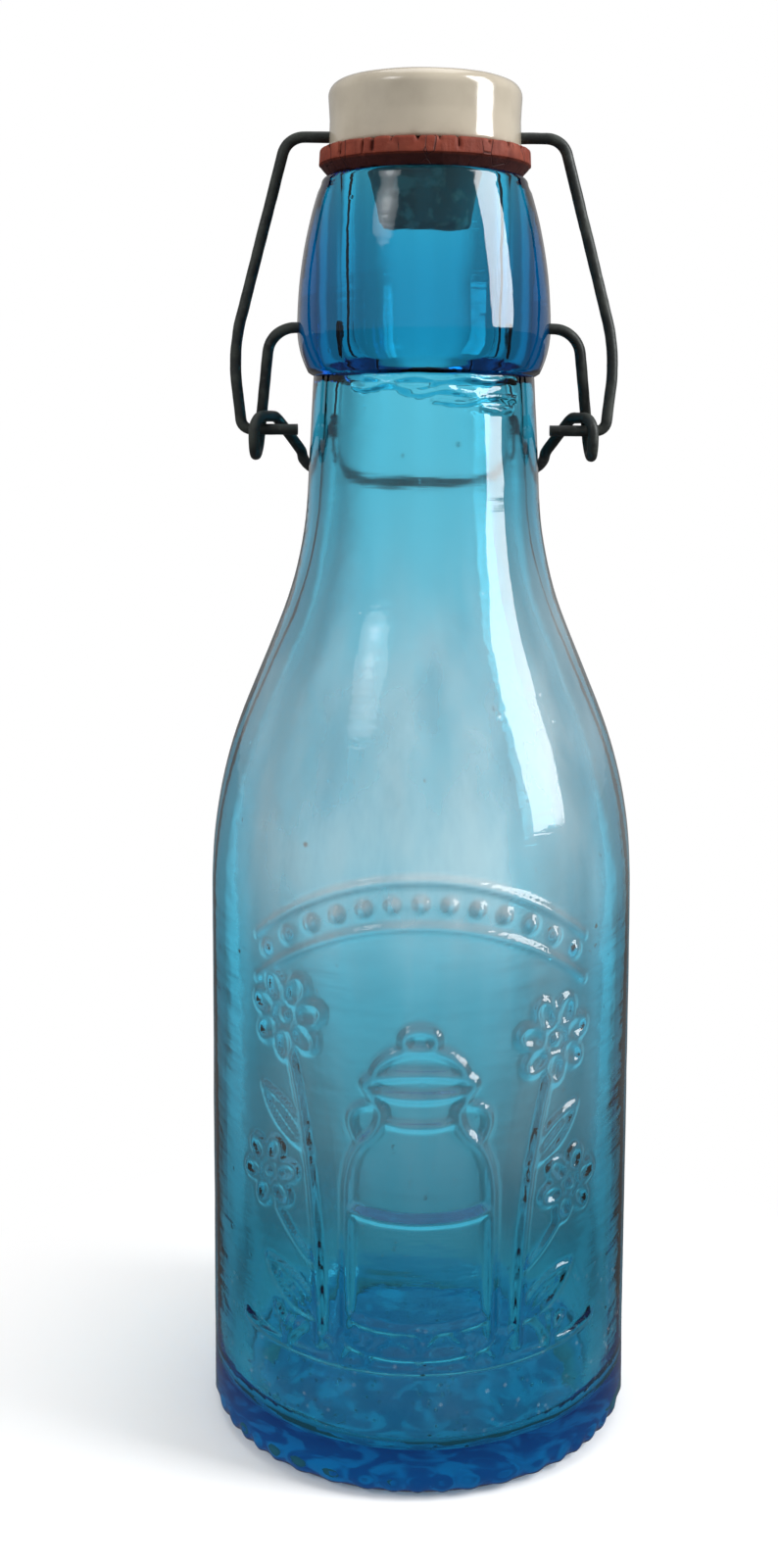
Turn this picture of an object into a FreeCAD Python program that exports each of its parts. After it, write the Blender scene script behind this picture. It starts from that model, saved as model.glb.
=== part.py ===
"""Swing top milk bottle: a moulded glass bottle closed by a porcelain stopper on a wire toggle.

Millimetres, +Z up. The origin is the middle of the base ring, on the surface that the bottle
stands on. The closure is shut: the lever lies behind the neck (+Y) and the bail holds the
stopper down on the lip. The two wires are each one bent piece, alike on the left and right.
"""
import math
import os

import FreeCAD
import Part

Vector = FreeCAD.Vector

# Glass bottle
GLASS_HEIGHT = 202.4        # base to sealing face
BODY_RADIUS = 34.6
BODY_HEIGHT = 87.5          # base to the start of the shoulder
WALL = 4.0                  # shoulder and neck
LOW_WALL = 5.2              # body wall at the floor
FLOOR_THICKNESS = 5.0
HEEL_RADIUS = 4.0
FLOOR_CORNER_RADIUS = 5.0   # inside, where the floor meets the wall
BASE_RING_WIDTH = 4.5       # flat ring that the bottle stands on
PUSH_UP = 2.2               # rise of the hollow under the base
SHOULDER_ANGLE = 22.3       # steepest lean of the shoulder, degrees
SHOULDER_RADIUS = 82.0
NECK_SWEEP_RADIUS = 62.0
NECK_TAPER = 3.0            # degrees
NECK_RADIUS = 17.6          # under the finish
FINISH_HEIGHT = 31.2        # thick collar at the mouth
FINISH_RADIUS = 20.2        # widest, level with the lever's pivots
FINISH_LEDGE = 0.9          # step from the neck to the collar
LEDGE_RISE = 0.54
PIVOT_RISE = 7.6            # collar's underside up to the pivots
LIP_WALL = 4.9              # bore to the collar's side under the lip's rounding
LIP_ROUND = 1.2
MOUTH_ROUND = 0.8
BORE_RADIUS = 11.6
BORE_LEAD = 4.0             # rise of the cone from the neck's inside to the bore

# Wires
WIRE_RADIUS = 0.9
PIVOT_CLEARANCE = 0.1       # radial, wire in the glass or the porcelain
PIVOT_DEPTH = 2.2           # depth of the moulded sockets in the collar
PIVOT_END_GAP = 0.3
WIRE_GAP = 0.3              # least gap between loose neighbours

# Porcelain stopper and its rubber
CAP_RADIUS = 15.4
CAP_HEIGHT = 11.2
CAP_CROWN = 0.7             # rise of the top's middle
CAP_TOP_ROUND = 3.0
CAP_FOOT_ROUND = 0.5
CROSS_HOLE_RISE = 2.1       # cap's underside to the wire hole's axis
PLUG_CLEARANCE = 2.2        # radial, plug's bead in the bore
PLUG_BEAD_HEIGHT = 1.0      # keeps the rubber on
PLUG_TAPER = 2.0            # radius lost from the bead to the plug's end
PLUG_LENGTH = 10.0          # below the rubber
PLUG_END_ROUND = 1.8
RUBBER_OVERHANG = 1.5       # beyond the cap's side
RUBBER_THICKNESS = 4.2
RUBBER_BEVEL_IN = 1.5
RUBBER_BEVEL_RISE = 1.7
RUBBER_FIT = 0.05           # radial, rubber on the plug
SEAL_GAP = 0.05             # rubber to lip, shut but not squeezed

# Lever, from the pivot
LEVER_ARM_REACH = 4.6       # collar's side to the arm's bend
LEVER_BEND_RADIUS = 4.5
EYE_DROP = 17.3             # pivot down to the eye's middle
EYE_RADIUS = 3.1            # wire's centre line
EYE_LEAD = 0.8              # how far the eye stands in front of the pivots, past dead centre
EYE_SPREAD = 2.3            # eye's middle beyond the arm's bend, along X
EYE_ROUNDING = 0.96         # share of the eye's half width that its bends take
EYE_TOP_ROUNDING = 0.86     # the same at its top
EYE_CROSSING_GAP = 1.2      # between the eye's two runs where they cross
EYE_EXIT_BEND = 1.6
TAIL_SIDE_GAP = 1.0         # neck to the tail's sides
TAIL_SIDE_DROP = 19.8       # pivot down to where the tail turns back
TAIL_SIDE_BACK = 5.0
TAIL_BACK_GAP = 0.4         # neck to the tail's back
TAIL_DROP = 25.4            # pivot down to the tail's back
TAIL_BEND_RADIUS = 13.0
TAIL_TURN_RADIUS = 2.5

# Bail, from the stopper's hole
BAIL_SHOULDER_REACH = 6.6   # cap's side to the bail's top bend
BAIL_SHOULDER_BEND = 3.5
BAIL_KNEE_DROP = 33.7       # hole down to the knee
BAIL_KNEE_SPREAD = 1.45     # foot out to the knee
BAIL_KNEE_BEND = 30.0
BAIL_FOOT_BEND = 1.7
BAIL_FOOT_GAP = 0.45        # foot to the eye's side
BAIL_PIN_LENGTH = 9.0       # inward through the eye

# Levels and places that follow from the sizes above
FINISH_BOTTOM = GLASS_HEIGHT - FINISH_HEIGHT
PIVOT_Z = FINISH_BOTTOM + PIVOT_RISE
FINISH_LIP_RADIUS = BORE_RADIUS + LIP_WALL
PLUG_BEAD_RADIUS = BORE_RADIUS - PLUG_CLEARANCE
PLUG_NECK_RADIUS = PLUG_BEAD_RADIUS - PLUG_BEAD_HEIGHT
PLUG_END_RADIUS = PLUG_BEAD_RADIUS - PLUG_TAPER
RUBBER_RADIUS = CAP_RADIUS + RUBBER_OVERHANG
RUBBER_BOTTOM = GLASS_HEIGHT + SEAL_GAP
CAP_BOTTOM = RUBBER_BOTTOM + RUBBER_THICKNESS
HOLE_Z = CAP_BOTTOM + CROSS_HOLE_RISE
EYE_Y = -EYE_LEAD
EYE_Z = PIVOT_Z - EYE_DROP
PIN_Z = EYE_Z + EYE_RADIUS - 2 * WIRE_RADIUS - WIRE_GAP
EYE_X = FINISH_RADIUS + LEVER_ARM_REACH + EYE_SPREAD


def line(start, end):
    """Straight edge between two points, each (radius, height)."""
    return Part.LineSegment(Vector(start[0], 0, start[1]), Vector(end[0], 0, end[1])).toShape()


def arc(start, middle, end):
    """Arc edge through three points, each (radius, height)."""
    points = [Vector(r, 0, z) for r, z in (start, middle, end)]
    return Part.Arc(*points).toShape()


def round_corner(corner, radius, start_angle, end_angle):
    """Quarter-turn edge of a rounded corner whose arc centre is `corner`; angles in degrees."""
    angles = (start_angle, (start_angle + end_angle) / 2, end_angle)
    turned = [math.radians(a) for a in angles]
    return arc(*[(corner[0] + radius * math.cos(a), corner[1] + radius * math.sin(a)) for a in turned])


def dome(apex_height, rim):
    """Edge of a shallow dome, its centre on the axis, from the apex out to the rim."""
    rise = apex_height - rim[1]
    radius = (rim[0] ** 2 + rise ** 2) / (2 * rise)
    half = math.asin(rim[0] / radius) / 2
    middle = (radius * math.sin(half), apex_height - radius * (1 - math.cos(half)))
    return arc((0, apex_height), middle, rim)


def spun(edges):
    """Solid of revolution about Z of a closed outline that touches the axis."""
    face = Part.Face(Part.Wire(Part.__sortEdges__(edges)))
    return face.revolve(Vector(), Vector(0, 0, 1), 360)


def shoulder_points():
    """Tangent points of the shoulder from body to finish: (radius, height, lean in degrees).

    Body, shoulder arc, straight lean, neck sweep and tapered neck meet without corners. The
    neck's tapered length takes up what the other sizes leave.
    """
    lean, taper = math.radians(SHOULDER_ANGLE), math.radians(NECK_TAPER)
    arc_end_r = BODY_RADIUS - SHOULDER_RADIUS * (1 - math.cos(lean))
    arc_end_z = BODY_HEIGHT + SHOULDER_RADIUS * math.sin(lean)
    sweep_in = NECK_SWEEP_RADIUS * (math.cos(taper) - math.cos(lean))
    sweep_rise = NECK_SWEEP_RADIUS * (math.sin(lean) - math.sin(taper))
    spare = FINISH_BOTTOM - sweep_rise - arc_end_z
    straight_in = arc_end_r - NECK_RADIUS - sweep_in
    neck = (spare * math.tan(lean) - straight_in) / (math.tan(lean) - math.tan(taper))
    sweep_end = (NECK_RADIUS + neck * math.tan(taper), FINISH_BOTTOM - neck)
    sweep_start = (sweep_end[0] + sweep_in, sweep_end[1] - sweep_rise)
    return [
        (BODY_RADIUS, BODY_HEIGHT, 0.0),
        (arc_end_r, arc_end_z, SHOULDER_ANGLE),
        (*sweep_start, SHOULDER_ANGLE),
        (*sweep_end, NECK_TAPER),
        (NECK_RADIUS, FINISH_BOTTOM, NECK_TAPER),
    ]


def neck_radius_at(height):
    """Outer radius of the tapered neck at a height."""
    return NECK_RADIUS + (FINISH_BOTTOM - height) * math.tan(math.radians(NECK_TAPER))


def shoulder_edges(depth):
    """Edges of the shoulder line, `depth` inside the glass, and its first and last points."""
    def inside(radius, height, lean):
        angle = math.radians(lean)
        return (radius - depth * math.cos(angle), height - depth * math.sin(angle))

    def arc_middle(start, end, radius, side):
        lean = math.radians((start[2] + end[2]) / 2)
        first = math.radians(start[2])
        centre = (start[0] - side * radius * math.cos(first), start[1] - side * radius * math.sin(first))
        return (centre[0] + side * radius * math.cos(lean), centre[1] + side * radius * math.sin(lean),
                math.degrees(lean))

    body, lean_low, lean_high, neck_low, neck_high = shoulder_points()
    shoulder_mid = arc_middle(body, lean_low, SHOULDER_RADIUS, 1)
    sweep_mid = arc_middle(lean_high, neck_low, NECK_SWEEP_RADIUS, -1)
    edges = [
        arc(inside(*body), inside(*shoulder_mid), inside(*lean_low)),
        line(inside(*lean_low), inside(*lean_high)),
        arc(inside(*lean_high), inside(*sweep_mid), inside(*neck_low)),
        line(inside(*neck_low), inside(*neck_high)),
    ]
    return edges, inside(*body), inside(*neck_high)


def finish_edges(neck_top):
    """Outside of the collar from the neck up to the sealing face, and where that face starts."""
    ledge_edge = (NECK_RADIUS + FINISH_LEDGE, FINISH_BOTTOM + LEDGE_RISE)
    widest = (FINISH_RADIUS, PIVOT_Z)
    lip_low = (FINISH_LIP_RADIUS, GLASS_HEIGHT - LIP_ROUND)
    lip_top = (FINISH_LIP_RADIUS - LIP_ROUND, GLASS_HEIGHT)

    def bulge(end):
        """Point halfway up an arc that leaves the widest point upright and reaches `end`."""
        rise, drop = end[1] - widest[1], widest[0] - end[0]
        radius = (rise * rise + drop * drop) / (2 * drop)
        angle = math.asin(abs(rise) / radius) / 2
        return (widest[0] - radius * (1 - math.cos(angle)),
                widest[1] + math.copysign(radius * math.sin(angle), rise))

    edges = [
        line(neck_top, ledge_edge),
        arc(ledge_edge, bulge(ledge_edge), widest),
        arc(widest, bulge(lip_low), lip_low),
        round_corner((lip_top[0], lip_low[1]), LIP_ROUND, 0, 90),
    ]
    return edges, lip_top


def glass_bottle():
    """Moulded bottle with its cavity, hollow base and two pivot sockets in the collar."""
    outer, shoulder_foot, neck_top = shoulder_edges(0)
    finish, lip_top = finish_edges(neck_top)
    ring_outer = BODY_RADIUS - HEEL_RADIUS
    ring_inner = ring_outer - BASE_RING_WIDTH
    underside = [
        dome(PUSH_UP, (ring_inner, 0)),
        line((ring_inner, 0), (ring_outer, 0)),
        round_corner((ring_outer, HEEL_RADIUS), HEEL_RADIUS, -90, 0),
        line((BODY_RADIUS, HEEL_RADIUS), shoulder_foot),
    ]
    inner, cavity_wall_top, bore_foot = shoulder_edges(WALL)
    low_wall = BODY_RADIUS - LOW_WALL
    corner = (low_wall - FLOOR_CORNER_RADIUS, FLOOR_THICKNESS + FLOOR_CORNER_RADIUS)
    floor_edge = (corner[0], FLOOR_THICKNESS)
    floor_middle = (0, FLOOR_THICKNESS + PUSH_UP)
    bore_top = (BORE_RADIUS, GLASS_HEIGHT - MOUTH_ROUND)
    bore_low = (BORE_RADIUS, FINISH_BOTTOM + BORE_LEAD)
    mouth = (BORE_RADIUS + MOUTH_ROUND, GLASS_HEIGHT)
    cavity = [
        dome(floor_middle[1], floor_edge),
        round_corner(corner, FLOOR_CORNER_RADIUS, -90, 0),
        line((low_wall, corner[1]), cavity_wall_top),
        *inner,
        line(bore_foot, bore_low),
        line(bore_low, bore_top),
        round_corner((mouth[0], bore_top[1]), MOUTH_ROUND, 180, 90),
    ]
    axis = line((0, PUSH_UP), floor_middle)
    glass = spun(underside + outer + finish + [line(lip_top, mouth)] + cavity + [axis])
    for side in (-1, 1):
        socket = Part.makeCylinder(
            WIRE_RADIUS + PIVOT_CLEARANCE, 2 * PIVOT_DEPTH,
            Vector(side * (FINISH_RADIUS - PIVOT_DEPTH), 0, PIVOT_Z), Vector(side, 0, 0))
        glass = glass.cut(socket)
    return glass


def porcelain_stopper():
    """Glazed cap with its plug below and the bail's hole across it."""
    top = CAP_BOTTOM + CAP_HEIGHT
    shelf = top - CAP_CROWN
    bead_z = RUBBER_BOTTOM - PLUG_BEAD_HEIGHT
    end_z = RUBBER_BOTTOM - PLUG_LENGTH
    round_r = CAP_RADIUS - CAP_TOP_ROUND
    edges = [
        line((0, end_z), (PLUG_END_RADIUS - PLUG_END_ROUND, end_z)),
        round_corner((PLUG_END_RADIUS - PLUG_END_ROUND, end_z + PLUG_END_ROUND), PLUG_END_ROUND, -90, 0),
        line((PLUG_END_RADIUS, end_z + PLUG_END_ROUND), (PLUG_BEAD_RADIUS, bead_z)),
        line((PLUG_BEAD_RADIUS, bead_z), (PLUG_NECK_RADIUS, RUBBER_BOTTOM)),
        line((PLUG_NECK_RADIUS, RUBBER_BOTTOM), (PLUG_NECK_RADIUS, CAP_BOTTOM)),
        line((PLUG_NECK_RADIUS, CAP_BOTTOM), (CAP_RADIUS - CAP_FOOT_ROUND, CAP_BOTTOM)),
        round_corner((CAP_RADIUS - CAP_FOOT_ROUND, CAP_BOTTOM + CAP_FOOT_ROUND), CAP_FOOT_ROUND, -90, 0),
        line((CAP_RADIUS, CAP_BOTTOM + CAP_FOOT_ROUND), (CAP_RADIUS, shelf - CAP_TOP_ROUND)),
        round_corner((round_r, shelf - CAP_TOP_ROUND), CAP_TOP_ROUND, 0, 90),
        dome(top, (round_r, shelf)),
        line((0, top), (0, end_z)),
    ]
    hole = Part.makeCylinder(
        WIRE_RADIUS + PIVOT_CLEARANCE, 4 * CAP_RADIUS, Vector(-2 * CAP_RADIUS, 0, HOLE_Z), Vector(1, 0, 0))
    return spun(edges).cut(hole)


def rubber_gasket():
    """Rubber ring under the cap, bevelled where it is squeezed against the lip."""
    bore = PLUG_NECK_RADIUS + RUBBER_FIT
    corners = [
        (bore, RUBBER_BOTTOM),
        (RUBBER_RADIUS - RUBBER_BEVEL_IN, RUBBER_BOTTOM),
        (RUBBER_RADIUS, RUBBER_BOTTOM + RUBBER_BEVEL_RISE),
        (RUBBER_RADIUS, CAP_BOTTOM),
        (bore, CAP_BOTTOM),
    ]
    return spun([line(a, b) for a, b in zip(corners, corners[1:] + corners[:1])])


def rounded_path(points, bends):
    """Wire of straight runs joined by tangent arcs, with one bend radius for each inner point."""
    edges = []
    start = points[0]
    for before, corner, after, bend in zip(points, points[1:], points[2:], bends):
        into = (corner - before).normalize()
        away = (after - corner).normalize()
        half_turn = into.getAngle(away) / 2
        reach = bend * math.tan(half_turn)
        first, last = corner - into * reach, corner + away * reach
        middle = corner + (away - into).normalize() * (bend / math.cos(half_turn) - bend)
        edges.append(Part.LineSegment(start, first).toShape())
        edges.append(Part.Arc(first, middle, last).toShape())
        start = last
    edges.append(Part.LineSegment(start, points[-1]).toShape())
    return Part.Wire(edges)


def bent_wire(half_points, half_bends):
    """Round wire, alike left and right, from the points and bends of its right half.

    The points run from the right end to the last bend before the middle, where X is 0.
    """
    mirrored = [Vector(-p.x, p.y, p.z) for p in reversed(half_points)]
    points = half_points + mirrored
    path = rounded_path(points, half_bends + half_bends[::-1])
    section = Part.Circle(points[0], points[1] - points[0], WIRE_RADIUS).toShape()
    return path.makePipeShell([Part.Wire(section)], True, False)


def lever_wire():
    """Toggle lever: an end in each socket, arms with an eye, and a tail behind the neck."""
    arm_x = FINISH_RADIUS + LEVER_ARM_REACH
    socket_x = FINISH_RADIUS - PIVOT_DEPTH + PIVOT_END_GAP
    eye_back, eye_front = EYE_Y + EYE_RADIUS, EYE_Y - EYE_RADIUS
    eye_low, eye_high = EYE_Z - EYE_RADIUS, EYE_Z + EYE_RADIUS
    side_z, tail_z = PIVOT_Z - TAIL_SIDE_DROP, PIVOT_Z - TAIL_DROP
    side_x = neck_radius_at(side_z) + TAIL_SIDE_GAP + WIRE_RADIUS
    tail_y = neck_radius_at(tail_z) + TAIL_BACK_GAP + WIRE_RADIUS
    points = [
        Vector(socket_x, 0, PIVOT_Z),
        Vector(arm_x, 0, PIVOT_Z),
        Vector(EYE_X, eye_back, eye_low),
        Vector(EYE_X, eye_front, eye_low),
        Vector(EYE_X, eye_front, eye_high),
        Vector(EYE_X - 2 * WIRE_RADIUS - EYE_CROSSING_GAP, eye_back - WIRE_GAP, eye_high),
        Vector(side_x, TAIL_SIDE_BACK, side_z),
        Vector(side_x, tail_y, tail_z),
    ]
    eye_bend = EYE_RADIUS * EYE_ROUNDING
    bends = [LEVER_BEND_RADIUS, eye_bend, eye_bend, EYE_RADIUS * EYE_TOP_ROUNDING,
             EYE_EXIT_BEND, TAIL_TURN_RADIUS, TAIL_BEND_RADIUS]
    return bent_wire(points, bends)


def bail_wire():
    """Bail: through the stopper's hole, down both sides and in through the lever's eyes."""
    pin_x = EYE_X + 2 * WIRE_RADIUS + BAIL_FOOT_GAP
    points = [
        Vector(pin_x - BAIL_PIN_LENGTH, EYE_Y, PIN_Z),
        Vector(pin_x, EYE_Y, PIN_Z),
        Vector(pin_x + BAIL_KNEE_SPREAD, EYE_Y / 2, HOLE_Z - BAIL_KNEE_DROP),
        Vector(CAP_RADIUS + BAIL_SHOULDER_REACH, 0, HOLE_Z),
    ]
    return bent_wire(points, [BAIL_FOOT_BEND, BAIL_KNEE_BEND, BAIL_SHOULDER_BEND])


def main():
    """Writes each piece to its own file."""
    os.makedirs("parts", exist_ok=True)
    pieces = {
        "glass_bottle": glass_bottle(),
        "porcelain_stopper": porcelain_stopper(),
        "rubber_gasket": rubber_gasket(),
        "bail_wire": bail_wire(),
        "lever_wire": lever_wire(),
    }
    for name, shape in pieces.items():
        shape.exportStep(f"parts/{name}.step")
        box = shape.BoundBox
        print(f"{name}: valid {shape.isValid()}, {shape.Volume / 1000:.2f} cm3, "
              f"x {box.XMin:.1f} to {box.XMax:.1f}, y {box.YMin:.1f} to {box.YMax:.1f}, "
              f"z {box.ZMin:.1f} to {box.ZMax:.1f}")
    print(f"pivots at z {PIVOT_Z:.3f}, eye pins at y {EYE_Y:.3f} z {PIN_Z:.3f}, stopper hole at z {HOLE_Z:.3f}")


main()
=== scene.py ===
"""Swing top milk bottle in blue glass: its finished pieces, the studio and the camera.

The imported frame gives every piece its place. The classes below hold sizes in millimetres, +Z up,
with the front of the bottle towards -Y; a mesh is made in metres.
"""
from __future__ import annotations

import logging
import math
from dataclasses import dataclass, field
from enum import Enum
from typing import Any, Callable, Sequence

import bpy
import numpy as np
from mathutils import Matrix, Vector, kdtree


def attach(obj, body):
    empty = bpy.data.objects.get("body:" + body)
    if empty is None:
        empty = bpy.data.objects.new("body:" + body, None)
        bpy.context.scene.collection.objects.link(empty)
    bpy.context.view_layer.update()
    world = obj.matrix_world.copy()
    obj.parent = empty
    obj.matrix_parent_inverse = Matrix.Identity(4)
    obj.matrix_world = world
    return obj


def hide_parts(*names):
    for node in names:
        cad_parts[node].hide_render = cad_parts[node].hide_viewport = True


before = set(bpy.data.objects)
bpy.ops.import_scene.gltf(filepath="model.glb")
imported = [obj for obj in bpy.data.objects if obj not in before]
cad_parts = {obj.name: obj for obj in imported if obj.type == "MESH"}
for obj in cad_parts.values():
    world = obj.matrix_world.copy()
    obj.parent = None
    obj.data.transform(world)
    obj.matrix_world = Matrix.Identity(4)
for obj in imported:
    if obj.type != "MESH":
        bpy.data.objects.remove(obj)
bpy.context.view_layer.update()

LOG = logging.getLogger("swing_top_bottle")
MM = 0.001
FRONT = -math.pi / 2
FULL_TURN = 360.0
HALF_TURN = 180.0
TINY = 1e-9
WHITE = (1.0, 1.0, 1.0, 1.0)
BLACK = (0.0, 0.0, 0.0)
INSIDE = "inside"
CRACK = "crack"
Point = tuple[float, float]
Point3 = tuple[float, float, float]
Colour = tuple[float, float, float]
Span = tuple[float, float]
Station = tuple[Point, Point | None]


def between(start: Point, end: Point, share: float) -> Point:
    """Place on a straight line, at a share of the way from start to end."""
    return (start[0] + (end[0] - start[0]) * share, start[1] + (end[1] - start[1]) * share)


def around(centre: Point, radius: float, angle: float) -> Point:
    """Place at a radius from a centre, at an angle in radians."""
    return (centre[0] + radius * math.cos(angle), centre[1] + radius * math.sin(angle))


def hump(distance: np.ndarray, half_width: float) -> np.ndarray:
    """Rounded ridge: 1 along its middle and 0 from `half_width` outwards."""
    return np.clip(1 - (distance / half_width) ** 2, 0, 1)


class Bench:
    """Modelling moves made with Blender's own operators, one active object at a time."""

    DOUBLES_GAP = 0.002
    LEAST_WEIGHT = 0.002
    RIPPLE_DEPTH = 2
    DRILL_SIDES = 48

    @staticmethod
    def clear() -> None:
        """Leaves edit mode and deselects everything."""
        active = bpy.context.view_layer.objects.active
        if active is not None and active.mode != "OBJECT":
            bpy.ops.object.mode_set(mode="OBJECT")
        bpy.ops.object.select_all(action="DESELECT")

    @staticmethod
    def take(piece: bpy.types.Object) -> None:
        """Makes one piece the only selected and active one.

        Args:
            piece: object to work on next.
        """
        Bench.clear()
        piece.select_set(True)
        bpy.context.view_layer.objects.active = piece

    @staticmethod
    def named(name: str) -> bpy.types.Object:
        """Names the primitive just added, and its mesh.

        Args:
            name: name of both.

        Returns:
            The new object.
        """
        piece = bpy.context.object
        piece.name = name
        piece.data.name = name
        return piece

    @staticmethod
    def draw_line(name: str, places: Sequence[Vector]) -> bpy.types.Object:
        """Extrudes a single point along a chain of places and stays in edit mode.

        Args:
            name: name of the new object.
            places: points in millimetres.

        Returns:
            The new object, whose last point is selected.
        """
        Bench.clear()
        bpy.ops.mesh.primitive_plane_add(size=MM)
        piece = Bench.named(name)
        bpy.ops.object.mode_set(mode="EDIT")
        bpy.ops.mesh.select_all(action="SELECT")
        bpy.ops.mesh.merge(type="CENTER")
        bpy.ops.transform.translate(value=places[0] * MM)
        for before, after in zip(places, places[1:]):
            bpy.ops.mesh.extrude_region_move(TRANSFORM_OT_translate={"value": (after - before) * MM})
        return piece

    @staticmethod
    def close_shell(smooth_degrees: float | None = None) -> None:
        """Merges doubles, turns faces outwards, leaves edit mode and shades the active piece smooth.

        Args:
            smooth_degrees: edges sharper than this stay sharp; None smooths them all.
        """
        bpy.ops.mesh.select_all(action="SELECT")
        bpy.ops.mesh.remove_doubles(threshold=Bench.DOUBLES_GAP * MM)
        bpy.ops.mesh.normals_make_consistent(inside=False)
        bpy.ops.object.mode_set(mode="OBJECT")
        if smooth_degrees is None:
            bpy.ops.object.shade_smooth()
        else:
            bpy.ops.object.shade_smooth_by_angle(angle=math.radians(smooth_degrees))

    @staticmethod
    def smooth(piece: bpy.types.Object, degrees: float) -> None:
        """Shades a finished piece smooth, but for edges sharper than an angle."""
        Bench.take(piece)
        bpy.ops.object.shade_smooth_by_angle(angle=math.radians(degrees))

    @staticmethod
    def turn(name: str, outline: Sequence[Point], sectors: Sequence[tuple[int, float]],
             start: float = 0.0) -> bpy.types.Object:
        """Spins an outline about the Z axis, anticlockwise from above, in sectors of their own fineness.

        Args:
            name: name of the new object.
            outline: (radius, height) points in millimetres, closed or ending on the axis.
            sectors: (steps, degrees) of each stretch of the turn, 360 degrees together.
            start: angle of the first copy, in radians from +X.

        Returns:
            The closed piece.
        """
        places = [Vector((r * math.cos(start), r * math.sin(start), z)) for r, z in outline]
        piece = Bench.draw_line(name, places)
        bpy.ops.mesh.select_all(action="SELECT")
        for steps, degrees in sectors:
            bpy.ops.mesh.spin(steps=steps, angle=math.radians(degrees), center=(0, 0, 0), axis=(0, 0, -1))
        Bench.close_shell()
        return piece

    @staticmethod
    def modify(piece: bpy.types.Object, kind: str, **settings: Any) -> None:
        """Adds one modifier and applies it.

        Args:
            piece: object to shape.
            kind: Blender's name of the modifier type.
            settings: modifier properties.
        """
        Bench.take(piece)
        modifier = piece.modifiers.new(kind.lower(), kind)
        for name, value in settings.items():
            setattr(modifier, name, value)
        bpy.ops.object.modifier_apply(modifier=modifier.name)

    @staticmethod
    def ripple(piece: bpy.types.Object, name: str, height: float, size: float) -> None:
        """Moves a surface in and out by soft noise.

        Args:
            piece: object to shape.
            name: name of the noise texture.
            height: millimetres from the lowest place to the highest.
            size: millimetres across a ripple.
        """
        texture = bpy.data.textures.new(name, "CLOUDS")
        texture.noise_scale = size * MM
        texture.noise_depth = Bench.RIPPLE_DEPTH
        Bench.modify(piece, "DISPLACE", texture=texture, texture_coords="LOCAL", strength=height * MM,
                     mid_level=0.5)

    @staticmethod
    def raise_by(piece: bpy.types.Object, name: str, weights: np.ndarray, height: float) -> None:
        """Lifts a surface along its normals.

        Args:
            piece: object to shape.
            name: name of the vertex group that carries the weights.
            weights: share of the height at each vertex, 0 to 1.
            height: lift in millimetres where the weight is 1; negative sinks.
        """
        group = piece.vertex_groups.new(name=name)
        for index in np.flatnonzero(weights > Bench.LEAST_WEIGHT):
            group.add([int(index)], float(weights[index]), "REPLACE")
        Bench.modify(piece, "DISPLACE", vertex_group=name, strength=height * MM, mid_level=0.0)
        piece.vertex_groups.remove(piece.vertex_groups[name])

    @staticmethod
    def places(piece: bpy.types.Object) -> np.ndarray:
        """Reads where the vertices of a piece are.

        Args:
            piece: object to read.

        Returns:
            Places in millimetres, one row for each vertex.
        """
        flat = np.empty(3 * len(piece.data.vertices))
        piece.data.vertices.foreach_get("co", flat)
        return flat.reshape(-1, 3) / MM

    @staticmethod
    def keep(piece: bpy.types.Object, name: str, values: np.ndarray) -> None:
        """Keeps a number at each vertex of a piece, for its material."""
        attribute = piece.data.attributes.new(name, "FLOAT", "POINT")
        attribute.data.foreach_set("value", values.astype(np.float32))

    @staticmethod
    def drill(piece: bpy.types.Object, place: Point3, radius: float, length: float) -> None:
        """Cuts a round hole along X through a piece.

        Args:
            piece: object to drill.
            place: middle of the hole in millimetres.
            radius: radius of the hole.
            length: length of the drill.
        """
        Bench.clear()
        bpy.ops.mesh.primitive_cylinder_add(
            vertices=Bench.DRILL_SIDES, radius=radius * MM, depth=length * MM)
        cutter = Bench.named("drill")
        bpy.ops.object.mode_set(mode="EDIT")
        bpy.ops.mesh.select_all(action="SELECT")
        bpy.ops.transform.rotate(value=math.pi / 2, orient_axis="Y", center_override=(0, 0, 0))
        bpy.ops.transform.translate(value=Vector(place) * MM)
        bpy.ops.object.mode_set(mode="OBJECT")
        Bench.modify(piece, "BOOLEAN", object=cutter, operation="DIFFERENCE", solver="EXACT")
        bpy.data.objects.remove(cutter)

    @staticmethod
    def dress(piece: bpy.types.Object, material: bpy.types.Material) -> None:
        """Gives a piece its one material."""
        piece.data.materials.clear()
        piece.data.materials.append(material)


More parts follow.
